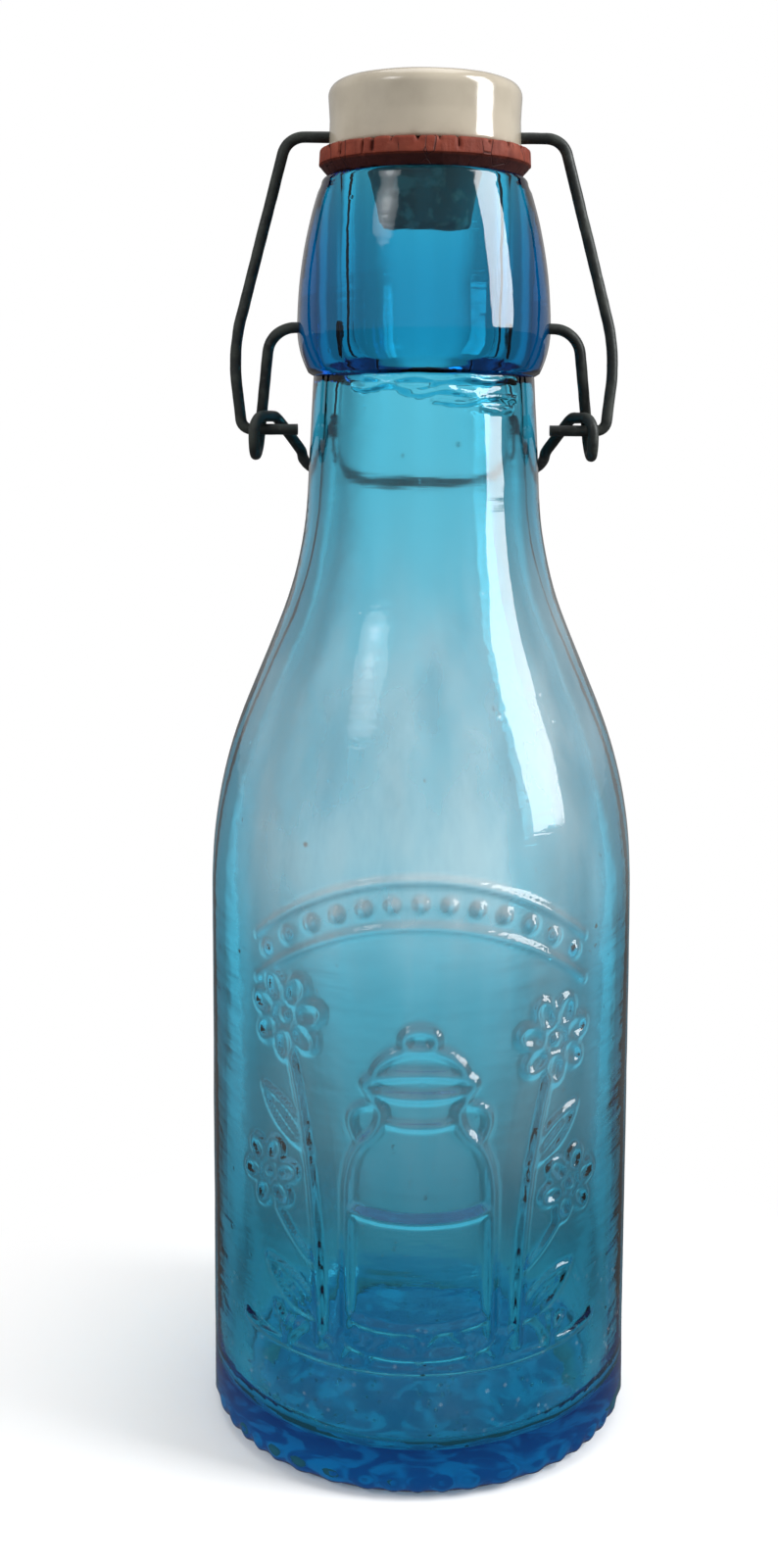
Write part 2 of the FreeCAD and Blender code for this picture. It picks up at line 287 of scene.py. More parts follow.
class Signal:
    """A shader socket that takes part in Python arithmetic by adding Math nodes."""

    def __init__(self, painter: Painter, socket: bpy.types.NodeSocket) -> None:
        """Wraps one output socket of the painter's material."""
        self.painter = painter
        self.socket = socket

    def _math(self, operation: str, first: Any, second: Any) -> Signal:
        """Adds one Math node and returns its result."""
        return self.painter.node("ShaderNodeMath", {"operation": operation}, {0: first, 1: second})

    def __add__(self, other: Any) -> Signal:
        """Sum."""
        return self._math("ADD", self, other)

    __radd__ = __add__

    def __sub__(self, other: Any) -> Signal:
        """Difference."""
        return self._math("SUBTRACT", self, other)

    def __rsub__(self, other: Any) -> Signal:
        """Difference, with the number first."""
        return self._math("SUBTRACT", other, self)

    def __mul__(self, other: Any) -> Signal:
        """Product."""
        return self._math("MULTIPLY", self, other)

    __rmul__ = __mul__

    def __pow__(self, other: Any) -> Signal:
        """Power."""
        return self._math("POWER", self, other)

    def larger(self, other: Any) -> Signal:
        """The larger of two values."""
        return self._math("MAXIMUM", self, other)

    def step(self, low: float, high: float, to_low: float = 0.0, to_high: float = 1.0) -> Signal:
        """Smooth step from `to_low` at `low` to `to_high` at `high`."""
        return self.painter.node(
            "ShaderNodeMapRange", {"interpolation_type": "SMOOTHSTEP"},
            {"Value": self, "From Min": low, "From Max": high, "To Min": to_low, "To Max": to_high})

    def rise(self, span: Span) -> Signal:
        """Smooth step from 0 to 1 over a span in millimetres, of a signal in metres."""
        return self.step(span[0] * MM, span[1] * MM)

    def fall(self, span: Span) -> Signal:
        """Smooth step from 1 to 0 over a span in millimetres, of a signal in metres."""
        return self.step(span[0] * MM, span[1] * MM, 1.0, 0.0)


class Painter:
    """Builds the nodes of one material or of the world."""

    def __init__(self, name: str, is_world: bool = False) -> None:
        """Starts a material, or a world, with no nodes but its output.

        Args:
            name: name of the material or world.
            is_world: whether it is a world.
        """
        self.material = (bpy.data.worlds if is_world else bpy.data.materials).new(name)
        self.material.use_nodes = True
        self.tree = self.material.node_tree
        self.tree.nodes.clear()
        kind = "ShaderNodeOutputWorld" if is_world else "ShaderNodeOutputMaterial"
        self.output = self.tree.nodes.new(kind)

    def node(self, kind: str, settings: dict[str, Any] | None = None,
             sockets: dict[int | str, Any] | None = None, out: int | str = 0) -> Signal:
        """Adds any node.

        Args:
            kind: Blender's name of the node type.
            settings: node properties.
            sockets: value or link of each input socket.
            out: output socket to return.

        Returns:
            That output, as a signal.
        """
        node = self.tree.nodes.new(kind)
        for name, value in (settings or {}).items():
            setattr(node, name, value)
        for key, value in (sockets or {}).items():
            if isinstance(value, Signal):
                self.tree.links.new(value.socket, node.inputs[key])
            else:
                node.inputs[key].default_value = value
        return Signal(self, node.outputs[out])

    def place(self, stretch: Point3 = (1.0, 1.0, 1.0)) -> Signal:
        """Object coordinates, stretched along the axes."""
        coordinates = self.node("ShaderNodeTexCoord", out="Object")
        return self.node("ShaderNodeMapping", {"vector_type": "POINT"},
                         {"Vector": coordinates, "Scale": stretch})

    def axis(self, name: str) -> Signal:
        """One object coordinate in metres: "X", "Y" or "Z"."""
        coordinates = self.node("ShaderNodeTexCoord", out="Object")
        return self.node("ShaderNodeSeparateXYZ", None, {0: coordinates}, name)

    def noise(self, size: float, detail: float = 3.0, stretch: Point3 = (1.0, 1.0, 1.0),
              distortion: float = 0.0) -> Signal:
        """Soft noise with features `size` millimetres across."""
        return self.node("ShaderNodeTexNoise", None, {
            "Vector": self.place(stretch), "Scale": 1 / (size * MM), "Detail": detail,
            "Distortion": distortion})

    def cells(self, size: float, feature: str = "F1", stretch: Point3 = (1.0, 1.0, 1.0)) -> Signal:
        """Distance to the nearest of scattered points, or cell edges, `size` millimetres apart."""
        return self.node("ShaderNodeTexVoronoi", {"feature": feature}, {
            "Vector": self.place(stretch), "Scale": 1 / (size * MM)}, "Distance")

    def spots(self, size: float, core: float, edge: float) -> Signal:
        """Round spots `size` millimetres apart: 1 within `core` and 0 beyond `edge`, shares of the size."""
        return self.cells(size).step(core, edge, 1.0, 0.0)

    def mix(self, factor: Any, low: Any, high: Any) -> Signal:
        """Mixes two colours.

        Args:
            factor: share of the second colour.
            low: first colour, as a signal or three numbers.
            high: second colour.

        Returns:
            The colour between them.
        """
        sockets = {0: factor}
        for index, colour in ((6, low), (7, high)):
            sockets[index] = colour if isinstance(colour, Signal) else (*colour, 1.0)
        return self.node("ShaderNodeMix", {"data_type": "RGBA"}, sockets, 2)

    def attribute(self, name: str) -> Signal:
        """A number kept at each vertex of the mesh."""
        return self.node("ShaderNodeAttribute", {"attribute_name": name}, None, "Fac")

    def length(self, vector: Signal) -> Signal:
        """Length of a vector."""
        return self.node("ShaderNodeVectorMath", {"operation": "LENGTH"}, {0: vector}, "Value")

    def rays(self) -> tuple[Signal, ...]:
        """Whether a ray comes from the camera, from gloss or through glass: three signals of 0 or 1."""
        return tuple(self.node("ShaderNodeLightPath", out=name) for name in (
            "Is Camera Ray", "Is Glossy Ray", "Is Transmission Ray"))

    def bump(self, height: Signal, depth: float, strength: float = 1.0) -> Signal:
        """Surface normal bumped by a height signal of `depth` millimetres."""
        return self.node("ShaderNodeBump", None,
                         {"Height": height, "Distance": depth * MM, "Strength": strength})

    def principled(self, sockets: dict[str, Any]) -> Signal:
        """Adds a Principled shader."""
        return self.node("ShaderNodeBsdfPrincipled", None, sockets)

    def blend(self, factor: Any, first: Signal, second: Signal) -> Signal:
        """Mixes two shaders."""
        return self.node("ShaderNodeMixShader", None, {0: factor, 1: first, 2: second})

    def finish(self, surface: Signal, volume: Signal | None = None) -> bpy.types.Material:
        """Links the shaders to the output.

        Args:
            surface: shader of the surface.
            volume: shader of the inside, if any.

        Returns:
            The material.
        """
        self.tree.links.new(surface.socket, self.output.inputs["Surface"])
        if volume is not None:
            self.tree.links.new(volume.socket, self.output.inputs["Volume"])
        return self.material


@dataclass(frozen=True)
class BlueGlass:
    """Old pressed glass: blue in its depth, finely waved, with a dry film on top and dust inside; its
    underside glows with painted light.

    Every span is a pair of heights, or of distances from the axis, between which a look comes or goes.
    """

    tint: Colour = (0.95, 0.985, 1.0)
    base_tint: Colour = (0.34, 0.70, 1.0)
    depth_colour: Colour = (0.0, 0.745, 0.86)
    depth_density: float = 285.0
    polish: float = 0.012
    refraction: float = 1.5
    film: Colour = (0.74, 0.80, 0.80)
    # Two colours of a painted glow on the base's underside, given off as emission in swirls; no lamp.
    base_glow_deep: Colour = (0.0, 0.062, 0.15)
    base_glow_bright: Colour = (0.0, 0.23, 0.34)
    dust: Colour = (0.42, 0.42, 0.38)
    dirt: Colour = (0.10, 0.07, 0.045)
    low_film: Span = (34.0, 62.0)
    low_film_share: float = 0.10
    high_film: Span = (76.0, 100.0)
    high_film_share: float = 0.28
    film_end: Span = (98.0, 166.0)
    film_sides: Span = (16.0, 32.0)
    film_side_share: float = 0.25
    grain_share: float = 0.45
    settled: Span = (9.0, 36.0)
    settled_share: float = 0.09
    dust_end: Span = (12.0, 42.0)
    outer_dust: Span = (9.0, 15.0)
    outer_dust_share: float = 0.25
    crumb_share: float = 0.9
    base_blue: Span = (3.0, 9.0)
    # Height and radius of the underside, which is rougher and gets the painted glow.
    under_height: Span = (2.5, 3.2)
    under_radius: Span = (30.2, 31.4)
    neck_haze: Span = (142.0, 150.0)
    neck_haze_end: Span = (162.0, 168.0)

    def film_share(self, paint: Painter, height: Signal) -> Signal:
        """Share of the film on the outer surface: streaked, densest at the body's top, thin at its sides.

        Args:
            paint: painter of the material.
            height: height above the floor, in metres.

        Returns:
            The share, 0 to 1.
        """
        low = height.rise(self.low_film) * self.low_film_share
        high = height.rise(self.high_film) * self.high_film_share
        band = (low + high) * height.fall(self.film_end)
        streaks = paint.noise(9.0, detail=4.0, stretch=(1.0, 1.0, 0.3)).step(0.3, 0.75)
        across = paint.axis("X") * (1 / MM)
        near, far = self.film_sides
        thinner = (across * across).step(near ** 2, far ** 2, 1.0, self.film_side_share)
        return band * (streaks * 0.6 + 0.6) * thinner

    def dust_share(self, paint: Painter, height: Signal) -> Signal:
        """Share of the grains and of the settled dust low in the cavity.

        Args:
            paint: painter of the material.
            height: height above the floor, in metres.

        Returns:
            The share, 0 to 1.
        """
        grains = paint.spots(1.7, core=0.10, edge=0.26) * paint.noise(6.0, detail=4.0).step(0.42, 0.60)
        settle = height.fall(self.settled) * paint.noise(11.0, detail=5.0).step(0.35, 0.7)
        return (grains * self.grain_share + settle * self.settled_share) * height.fall(self.dust_end)

    def waves(self, paint: Painter) -> Signal:
        """Height of the surface's waves, drawn lines and seed bubbles.

        Args:
            paint: painter of the material.

        Returns:
            The height, for a bump.
        """
        seeds = paint.spots(5.0, core=0.02, edge=0.09) * paint.noise(15.0).step(0.45, 0.6)
        drawn = paint.noise(5.0, detail=4.0, stretch=(0.3, 0.3, 3.0))
        return paint.noise(10.0, detail=2.0, stretch=(1.0, 1.0, 2.2)) * 0.7 + seeds * 0.35 + drawn * 0.3

    def material(self, inside_name: str) -> bpy.types.Material:
        """Makes the glass material.

        Args:
            inside_name: vertex attribute that is 1 on the cavity's surface and 0 outside.

        Returns:
            The material.
        """
        paint = Painter("blue_glass")
        height = paint.axis("Z")
        inside = paint.attribute(inside_name)
        outside = 1.0 - inside
        crumbs = paint.spots(5.5, core=0.05, edge=0.095) * paint.noise(14.0).step(0.50, 0.58) * inside
        dusty_side = inside + outside * height.rise(self.outer_dust) * self.outer_dust_share
        dusty = self.dust_share(paint, height) * dusty_side
        veil = dusty.larger(crumbs * self.crumb_share) + self.film_share(paint, height) * outside
        coat = paint.mix(crumbs, paint.mix(inside, self.film, self.dust), self.dirt)
        from_axis = paint.length(paint.place((1.0, 1.0, 0.0)))
        # Underside of the base: a rougher, stippled finish, and a painted blue glow given off as emission.
        under = height.fall(self.under_height) * from_axis.fall(self.under_radius)
        base_glow_swirls = paint.noise(7.0, detail=2.0, distortion=1.5).step(0.46, 0.66)
        painted_base_glow = paint.mix(base_glow_swirls, self.base_glow_deep, self.base_glow_bright)
        hazy_neck = height.rise(self.neck_haze) * height.fall(self.neck_haze_end) * inside
        low_haze = height.fall(self.dust_end) * inside
        clear = paint.principled({
            "Base Color": paint.mix(height.fall(self.base_blue) * outside, self.tint, self.base_tint),
            "Roughness": low_haze * 0.05 + hazy_neck * 0.13 + under * 0.5 + self.polish,
            # Painted light: the underside glows blue by emission, though it is no lamp.
            "Emission Color": paint.mix(under, BLACK, painted_base_glow), "Emission Strength": 1.0,
            "IOR": self.refraction, "Transmission Weight": 1.0,
            "Normal": paint.bump(self.waves(paint), depth=0.14, strength=0.8)})
        settled = paint.principled({"Base Color": coat, "Roughness": 0.9})
        absorb = paint.node("ShaderNodeVolumeAbsorption", None, {
            "Color": (*self.depth_colour, 1.0), "Density": self.depth_density})
        return paint.finish(paint.blend(veil, clear, settled), absorb)


@dataclass(frozen=True)
class Porcelain:
    """Warm off-white glaze with faint grey clouds and pin specks; the plug below is painted dark as shade,
    with patches of painted shine.
    """

    glaze: Colour = (0.48, 0.425, 0.335)
    cloud: Colour = (0.41, 0.36, 0.28)
    speck: Colour = (0.20, 0.15, 0.10)
    # Painted shade: the plug's colour, dark because it sits in shadow inside the neck.
    plug_painted_shade: Colour = (0.055, 0.050, 0.042)
    # Pale patches of painted shine on the shaded plug.
    plug_painted_shine: Colour = (0.26, 0.24, 0.20)
    polish: float = 0.12
    grime_rise: float = 1.6
    # Where the plug's painted shade fades in, below the cap's underside.
    plug_shade_start: float = 0.4
    plug_shade_end: float = 0.2

    def material(self, foot: float) -> bpy.types.Material:
        """Makes the glaze material.

        Args:
            foot: height in millimetres of the cap's underside, below which the plug is painted in shade.

        Returns:
            The material.
        """
        paint = Painter("porcelain_glaze")
        height = paint.axis("Z")
        clouds = paint.noise(8.0, detail=4.0).step(0.35, 0.7)
        specks = paint.spots(3.4, core=0.03, edge=0.07) * paint.noise(9.0).step(0.5, 0.56)
        blots = paint.noise(2.4, detail=4.0).step(0.45, 0.75)
        grime = height.fall((foot, foot + self.grime_rise)) * blots
        # Mask of the plug below the cap: painted shade, and a rougher finish without coat.
        painted_shade_plug_mask = height.fall((foot - self.plug_shade_start, foot - self.plug_shade_end))
        glaze = paint.mix(clouds, self.glaze, self.cloud)
        aged = paint.mix(specks * 0.7 + grime * 0.35, glaze, self.speck)
        # The plug's colour: painted shade broken by patches of painted shine.
        plug = paint.mix(paint.noise(3.0, detail=4.0).step(0.5, 0.68), self.plug_painted_shade, self.plug_painted_shine)
        relief = paint.noise(5.0, detail=2.0) + paint.noise(0.8, detail=2.0) * 0.06
        return paint.finish(paint.principled({
            "Base Color": paint.mix(painted_shade_plug_mask * 0.95, aged, plug),
            "Roughness": clouds * 0.08 + painted_shade_plug_mask * 0.4 + self.polish,
            "Coat Weight": 0.6 - painted_shade_plug_mask * 0.6, "Coat Roughness": 0.05,
            "Normal": paint.bump(relief, depth=0.10, strength=0.6)}))


@dataclass(frozen=True)
class AgedRubber:
    """Brick red rubber, dried and cracked; its top paler from wear and painted light, its cracks and lower
    bevel in painted shade.
    """

    face: Colour = (0.19, 0.036, 0.020)
    pale: Colour = (0.29, 0.070, 0.040)
    dark: Colour = (0.035, 0.011, 0.011)
    roughness: float = 0.6
    gloss: float = 0.2
    # Heights about the rim over which the lower bevel fades into painted shade.
    underside_shade_span: Span = (-0.35, 0.05)
    # Distance below the top where the painted light on the ring's top reaches its full share.
    lit_top_stop: float = 0.2

    def material(self, rim: float, top: float, crack_name: str) -> bpy.types.Material:
        """Makes the rubber material.

        Args:
            rim: height in millimetres where the ring's rim starts, above its bevel.
            top: height of the ring's upper face.
            crack_name: vertex attribute that is 1 in the middle of a crack and 0 off it.

        Returns:
            The material.
        """
        paint = Painter("aged_rubber")
        height = paint.axis("Z")
        # Painted shade on the bevel under the rim, which faces down into shadow.
        painted_underside_shade = height.fall((rim + self.underside_shade_span[0], rim + self.underside_shade_span[1]))
        streaks = paint.noise(1.6, detail=4.0, stretch=(1.0, 1.0, 0.25)).step(0.42, 0.75)
        # Ramp that pales the ring towards its top: painted light, laid over patches of rubbed wear.
        upper = height.step(rim * MM, (top - self.lit_top_stop) * MM, 0.4, 1.0)
        rubbed = paint.noise(4.5).step(0.42, 0.66) * upper
        crackle = paint.cells(3.2, "DISTANCE_TO_EDGE", (1.0, 1.0, 0.3)).step(0.0, 0.03, 1.0, 0.0)
        split = paint.attribute(crack_name).step(0.15, 0.7)
        cracks = (crackle * paint.noise(6.0).step(0.46, 0.56)).larger(split)
        face = paint.mix(streaks * 0.4, self.face, self.dark)
        # Pale patches: rubbed wear, paler towards the top as painted light.
        worn_and_lit = paint.mix(rubbed * 0.8, face, self.pale)
        # The split cracks are sunk into the mesh and the crackle is bumped; their dark colour is painted
        # shade in these recesses.
        cracked = paint.mix(cracks * 0.8, worn_and_lit, self.dark)
        grain = paint.noise(0.35, detail=4.0) * 0.5 + streaks * 0.5 - cracks * 0.9
        return paint.finish(paint.principled({
            # Darkest on the lower bevel: painted shade.
            "Base Color": paint.mix(painted_underside_shade * 0.9, cracked, self.dark),
            "Roughness": streaks * 0.15 - rubbed * 0.15 + self.roughness,
            "Specular IOR Level": self.gloss, "Normal": paint.bump(grain, depth=0.14, strength=0.9)}))


@dataclass(frozen=True)
class DarkWire:
    """Galvanised wire gone dark, with a dull green-black patina, rubbed grey on its high spots."""

    patina: Colour = (0.020, 0.024, 0.023)
    rubbed: Colour = (0.085, 0.090, 0.088)
    crust: Colour = (0.045, 0.052, 0.046)
    roughness: float = 0.46
    metal: float = 0.35

    def material(self) -> bpy.types.Material:
        """Makes the wire material.

        Returns:
            The material.
        """
        paint = Painter("dark_wire")
        blotch = paint.noise(3.2, detail=4.0).step(0.42, 0.66)
        rub = paint.noise(1.1).step(0.56, 0.74)
        pits = paint.spots(0.55, core=0.05, edge=0.32) * blotch
        patina = paint.mix(blotch, self.patina, self.crust)
        grain = paint.noise(0.5, detail=4.0) * 0.6 - pits * 0.6
        return paint.finish(paint.principled({
            "Base Color": paint.mix(rub * 0.6, patina, self.rubbed),
            "Metallic": rub * 0.35 + self.metal,
            "Roughness": blotch * 0.22 - rub * 0.1 + self.roughness,
            "Normal": paint.bump(grain, depth=0.07, strength=0.8)}))


@dataclass
class Outline:
    """A chain of (radius, height) points drawn with straight runs and arcs, points at most a step apart."""

    points: list[Point]

    def line_to(self, end: Point, step: float) -> Outline:
        """Draws a straight run.

        Args:
            end: where it ends.
            step: largest spacing of its points, in millimetres.

        Returns:
            The outline.
        """
        start = self.points[-1]
        count = max(1, math.ceil(math.dist(start, end) / step))
        self.points += [between(start, end, index / count) for index in range(1, count + 1)]
        return self

    def arc_to(self, end: Point, centre: Point, step: float) -> Outline:
        """Draws an arc, the short way round.

        Args:
            end: where it ends.
            centre: centre of the arc.
            step: largest spacing of its points, in millimetres.

        Returns:
            The outline.
        """
        start = self.points[-1]
        radius = math.dist(start, centre)
        first = math.atan2(start[1] - centre[1], start[0] - centre[0])
        last = math.atan2(end[1] - centre[1], end[0] - centre[0])
        sweep = (last - first + math.pi) % (2 * math.pi) - math.pi
        count = max(2, math.ceil(abs(sweep) * radius / step))
        self.points += [around(centre, radius, first + sweep * index / count) for index in range(1, count)]
        self.points.append(end)
        return self

    def dome_to(self, end: Point, step: float) -> Outline:
        """Draws a shallow dome whose centre is on the axis, to or from the axis.

        Args:
            end: where it ends.
            step: largest spacing of its points, in millimetres.

        Returns:
            The outline.
        """
        start = self.points[-1]
        rim, apex = (start, end) if end[0] == 0 else (end, start)
        rise = apex[1] - rim[1]
        return self.arc_to(end, (0.0, apex[1] - (rim[0] ** 2 + rise ** 2) / (2 * rise)), step)


class LineWeight(Enum):
    """Half width in millimetres of a raised line."""

    BEAD = 1.6
    BOLD = 1.2
    FINE = 0.9


@dataclass
class MeadowRelief:
    """Raised design on the front of the body: a milk churn among daisies, under an arch of beads.

    It is drawn on the unrolled surface: (across, up) in millimetres, 0 across at the front.
    """

    ground: float = 23.0
    spacing: float = 0.3
    roundness: float = 1.7
    petal_turn: float = 12.0
    grass_spacing: float = 6.8
    arch_rim: float = 3.4
    marks: dict[LineWeight, list[Point]] = field(default_factory=lambda: {w: [] for w in LineWeight})

    def trace(self, weight: LineWeight, at: Callable[[float], Point], length: float) -> None:
        """Marks a line along a formula of 0 to 1, about `length` millimetres long."""
        count = max(2, round(length / self.spacing))
        self.marks[weight] += [at(index / count) for index in range(count + 1)]

    def line(self, weight: LineWeight, start: Point, end: Point) -> None:
        """Marks a straight line."""
        self.trace(weight, lambda t: between(start, end, t), math.dist(start, end))

    def curve(self, weight: LineWeight, start: Point, pull: Point, end: Point) -> None:
        """Marks a curve.

        Args:
            weight: weight of the line.
            start: where it starts.
            pull: place that both its ends point at.
            end: where it ends.
        """
        def at(t: float) -> Point:
            """Place on the curve."""
            return tuple((1 - t) ** 2 * a + 2 * t * (1 - t) * b + t * t * c
                         for a, b, c in zip(start, pull, end))

        self.trace(weight, at, math.dist(start, pull) + math.dist(pull, end))

    def oval(self, weight: LineWeight, centre: Point, across: float, up: float, tilt: float = 0.0,
             start: float = 0.0, end: float = FULL_TURN) -> None:
        """Marks an oval, or its arc between two angles.

        Args:
            weight: weight of the line.
            centre: middle of the oval.
            across: half of its width.
            up: half of its height.
            tilt: how far it is turned, in degrees.
            start: angle where the arc starts, in degrees.
            end: angle where it ends.
        """
        turn = math.radians(tilt)

        def at(t: float) -> Point:
            """Place on the oval.

            Args:
                t: share of the way along the arc.

            Returns:
                The place.
            """
            angle = math.radians(start + (end - start) * t)
            x, y = across * math.cos(angle), up * math.sin(angle)
            return (centre[0] + x * math.cos(turn) - y * math.sin(turn),
                    centre[1] + x * math.sin(turn) + y * math.cos(turn))

        self.trace(weight, at, (across + up) * math.radians(abs(end - start)) / 2)

    def daisy(self, centre: Point, radius: float, petals: int) -> None:
        """Marks a daisy: a bead for its eye and a ring of petal loops.

        Args:
            centre: place of the eye.
            radius: reach of the petals.
            petals: number of petals.
        """
        self.marks[LineWeight.BEAD].append(centre)
        for index in range(petals):
            tilt = FULL_TURN * index / petals + self.petal_turn
            middle = around(centre, radius * 0.68, math.radians(tilt))
            self.oval(LineWeight.FINE, middle, radius * 0.34, radius * 0.24, tilt)

    def leaf(self, root: Point, tip: Point, width: float) -> None:
        """Marks a leaf by its two edges and its middle rib.

        Args:
            root: where it joins the stem.
            tip: its point.
            width: how far its edges bow to each side.
        """
        along = (tip[0] - root[0], tip[1] - root[1])
        middle = between(root, tip, 0.5)
        length = math.hypot(*along)
        side = (-along[1] / length * width, along[0] / length * width)
        for sign in (-1, 1):
            pull = (middle[0] + sign * side[0], middle[1] + sign * side[1])
            self.curve(LineWeight.FINE, root, pull, tip)
        self.line(LineWeight.FINE, root, between(root, tip, 0.7))

    def churn(self, half_width: float = 11.0) -> None:
        """Marks the churn: banded body, sloping shoulders, neck, collar, lid with a knob and two ears.

        Args:
            half_width: half of the body's width.
        """
        foot, shoulder, neck = self.ground + 3.0, self.ground + 25.0, self.ground + 38.0
        rim, neck_half, collar_half = neck + 5.0, half_width * 0.52, half_width * 0.74
        bold, fine = LineWeight.BOLD, LineWeight.FINE
        for side in (-1, 1):
            wall_top = (side * half_width, shoulder)
            slope = (side * (half_width + neck_half) / 2, shoulder + 9.0)
            throat = (side * neck_half, neck + 1.0)
            ear_low = (side * half_width * 0.82, shoulder + 8.5)
            ear_out = (side * (half_width + 2.0), neck + 1.5)
            ear_high = (side * (neck_half + 0.6), neck + 2.0)
            self.line(bold, (side * half_width, foot), wall_top)
            self.curve(bold, wall_top, (side * half_width, shoulder + 6.5), slope)
            self.curve(bold, slope, (side * neck_half, neck - 2.0), throat)
            self.line(bold, throat, (side * collar_half, rim))
            self.curve(fine, ear_low, ear_out, ear_high)
        for level, half, depth, weight in (
                (foot, half_width, 2.4, bold), (foot + 4.0, half_width, 2.4, fine),
                (shoulder - 1.0, half_width, 2.2, bold), (neck, neck_half, 1.4, fine)):
            self.oval(weight, (0.0, level), half, depth, start=HALF_TURN, end=FULL_TURN)
        self.oval(bold, (0.0, rim), collar_half, 1.8)
        self.oval(bold, (0.0, rim + 0.6), collar_half * 0.84, 5.0, end=HALF_TURN)
        self.oval(bold, (0.0, rim + 7.0), 2.4, 1.5)

    def sprig(self, side: int) -> None:
        """Marks one stem of daisies and leaves beside the churn.

        Args:
            side: -1 on the left, 1 on the right, where it is a little lower.
        """
        lean = 1.0 if side < 0 else 0.93

        def put(across: float, up: float) -> Point:
            """Place on this side, above the ground."""
            return (side * across, self.ground + up * lean)

        self.curve(LineWeight.BOLD, put(15.5, 1.0), put(15.5, 26.0), put(20.5, 45.0))
        self.curve(LineWeight.FINE, put(15.8, 13.0), put(20.0, 16.0), put(23.5, 21.0))
        self.daisy(put(21.8, 51.5), radius=6.6, petals=7)
        self.daisy(put(25.2, 26.0), radius=5.6, petals=6)
        self.leaf(put(15.6, 5.0), put(25.5, 12.0), width=3.6)
        self.leaf(put(17.0, 31.0), put(26.5, 39.5), width=3.4)

    def meadow(self) -> None:
        """Marks the ground line and tufts of grass along it."""
        self.oval(LineWeight.FINE, (0.0, self.ground + 1.0), 31.0, 2.6, start=HALF_TURN, end=FULL_TURN)
        for index in range(-3, 4):
            across = index * self.grass_spacing + 1.4 * math.sin(index * 2.3)
            root = (across, self.ground - 0.8 + 0.5 * math.cos(index * 1.7))
            for lean in (-2.4, 0.3, 2.6):
                tall = 4.2 + 1.2 * math.sin(index * 3.1 + lean)
                self.curve(LineWeight.FINE, root, (root[0] + lean * 0.25, root[1] + tall * 0.7),
                           (root[0] + lean, root[1] + tall))

    def bead_arch(self, ends: float = 28.0, low: float = 82.5, high: float = 93.5, count: int = 13) -> None:
        """Marks an arch of beads between two fine lines over the churn.

        Args:
            ends: distance of the arch's ends from the middle.
            low: height of its ends.
            high: height of its middle.
            count: number of beads.
        """
        for offset in (-self.arch_rim, self.arch_rim):
            top = (0.0, 2 * high - low + offset)
            self.curve(LineWeight.FINE, (-ends, low + offset), top, (ends, low + offset))
        for index in range(count):
            t = (index + 0.5) / count
            across = -ends + 2 * ends * t
            self.marks[LineWeight.BEAD].append((across, low + (high - low) * 4 * t * (1 - t)))

    def draw(self) -> MeadowRelief:
        """Marks the whole design.

        Returns:
            The design.
        """
        self.churn()
        self.sprig(-1)
        self.sprig(1)
        self.meadow()
        self.bead_arch()
        return self

    def weights(self, across: np.ndarray, up: np.ndarray) -> np.ndarray:
        """Share of the full height at unrolled places.

        Args:
            across: distance from the front line at each place, in millimetres.
            up: height of each place.

        Returns:
            Values from 0 to 1, rounded over each line.
        """
        result = np.zeros(len(across))
        for weight, points in self.marks.items():
            tree = kdtree.KDTree(len(points))
            for index, (x, y) in enumerate(points):
                tree.insert((x, y, 0.0), index)
            tree.balance()
            distance = np.array([tree.find((x, y, 0.0))[2] for x, y in zip(across, up)])
            ridge = hump(distance, weight.value) ** self.roundness
            result = np.maximum(result, ridge * min(1.0, weight.value / LineWeight.BOLD.value))
        return result


@dataclass(frozen=True)
class Crease:
    """A fold of the glass under the collar: its drop below it, its two ends across, bow and half width."""

    drop: float
    start: float
    end: float
    bow: float
    half_width: float
    share: float = 0.7

    def weights(self, across: np.ndarray, up: np.ndarray, collar: float) -> np.ndarray:
        """Share of the relief's height that the crease has at unrolled places.

        Args:
            across: distance from the front line at each place, in millimetres.
            up: height of each place.
            collar: height of the collar's lower edge.

        Returns:
            Values from 0 to the crease's share.
        """
        middle, half = (self.start + self.end) / 2, (self.end - self.start) / 2
        along = hump(across - middle, half)
        level = collar - self.drop + self.bow * np.sin(across * 0.8 + self.drop * 3)
        return self.share * np.sqrt(along) * hump(up - level, self.half_width)


CREASES = (
    Crease(0.9, -10.0, 17.0, 0.22, 0.5), Crease(2.0, -12.0, 5.0, 0.3, 0.45),
    Crease(2.8, -4.0, 9.0, -0.3, 0.45), Crease(3.6, 7.0, 17.0, 0.2, 0.5),
    Crease(4.3, 1.0, 9.5, 0.2, 0.42), Crease(5.4, 9.0, 16.0, -0.2, 0.42),
)


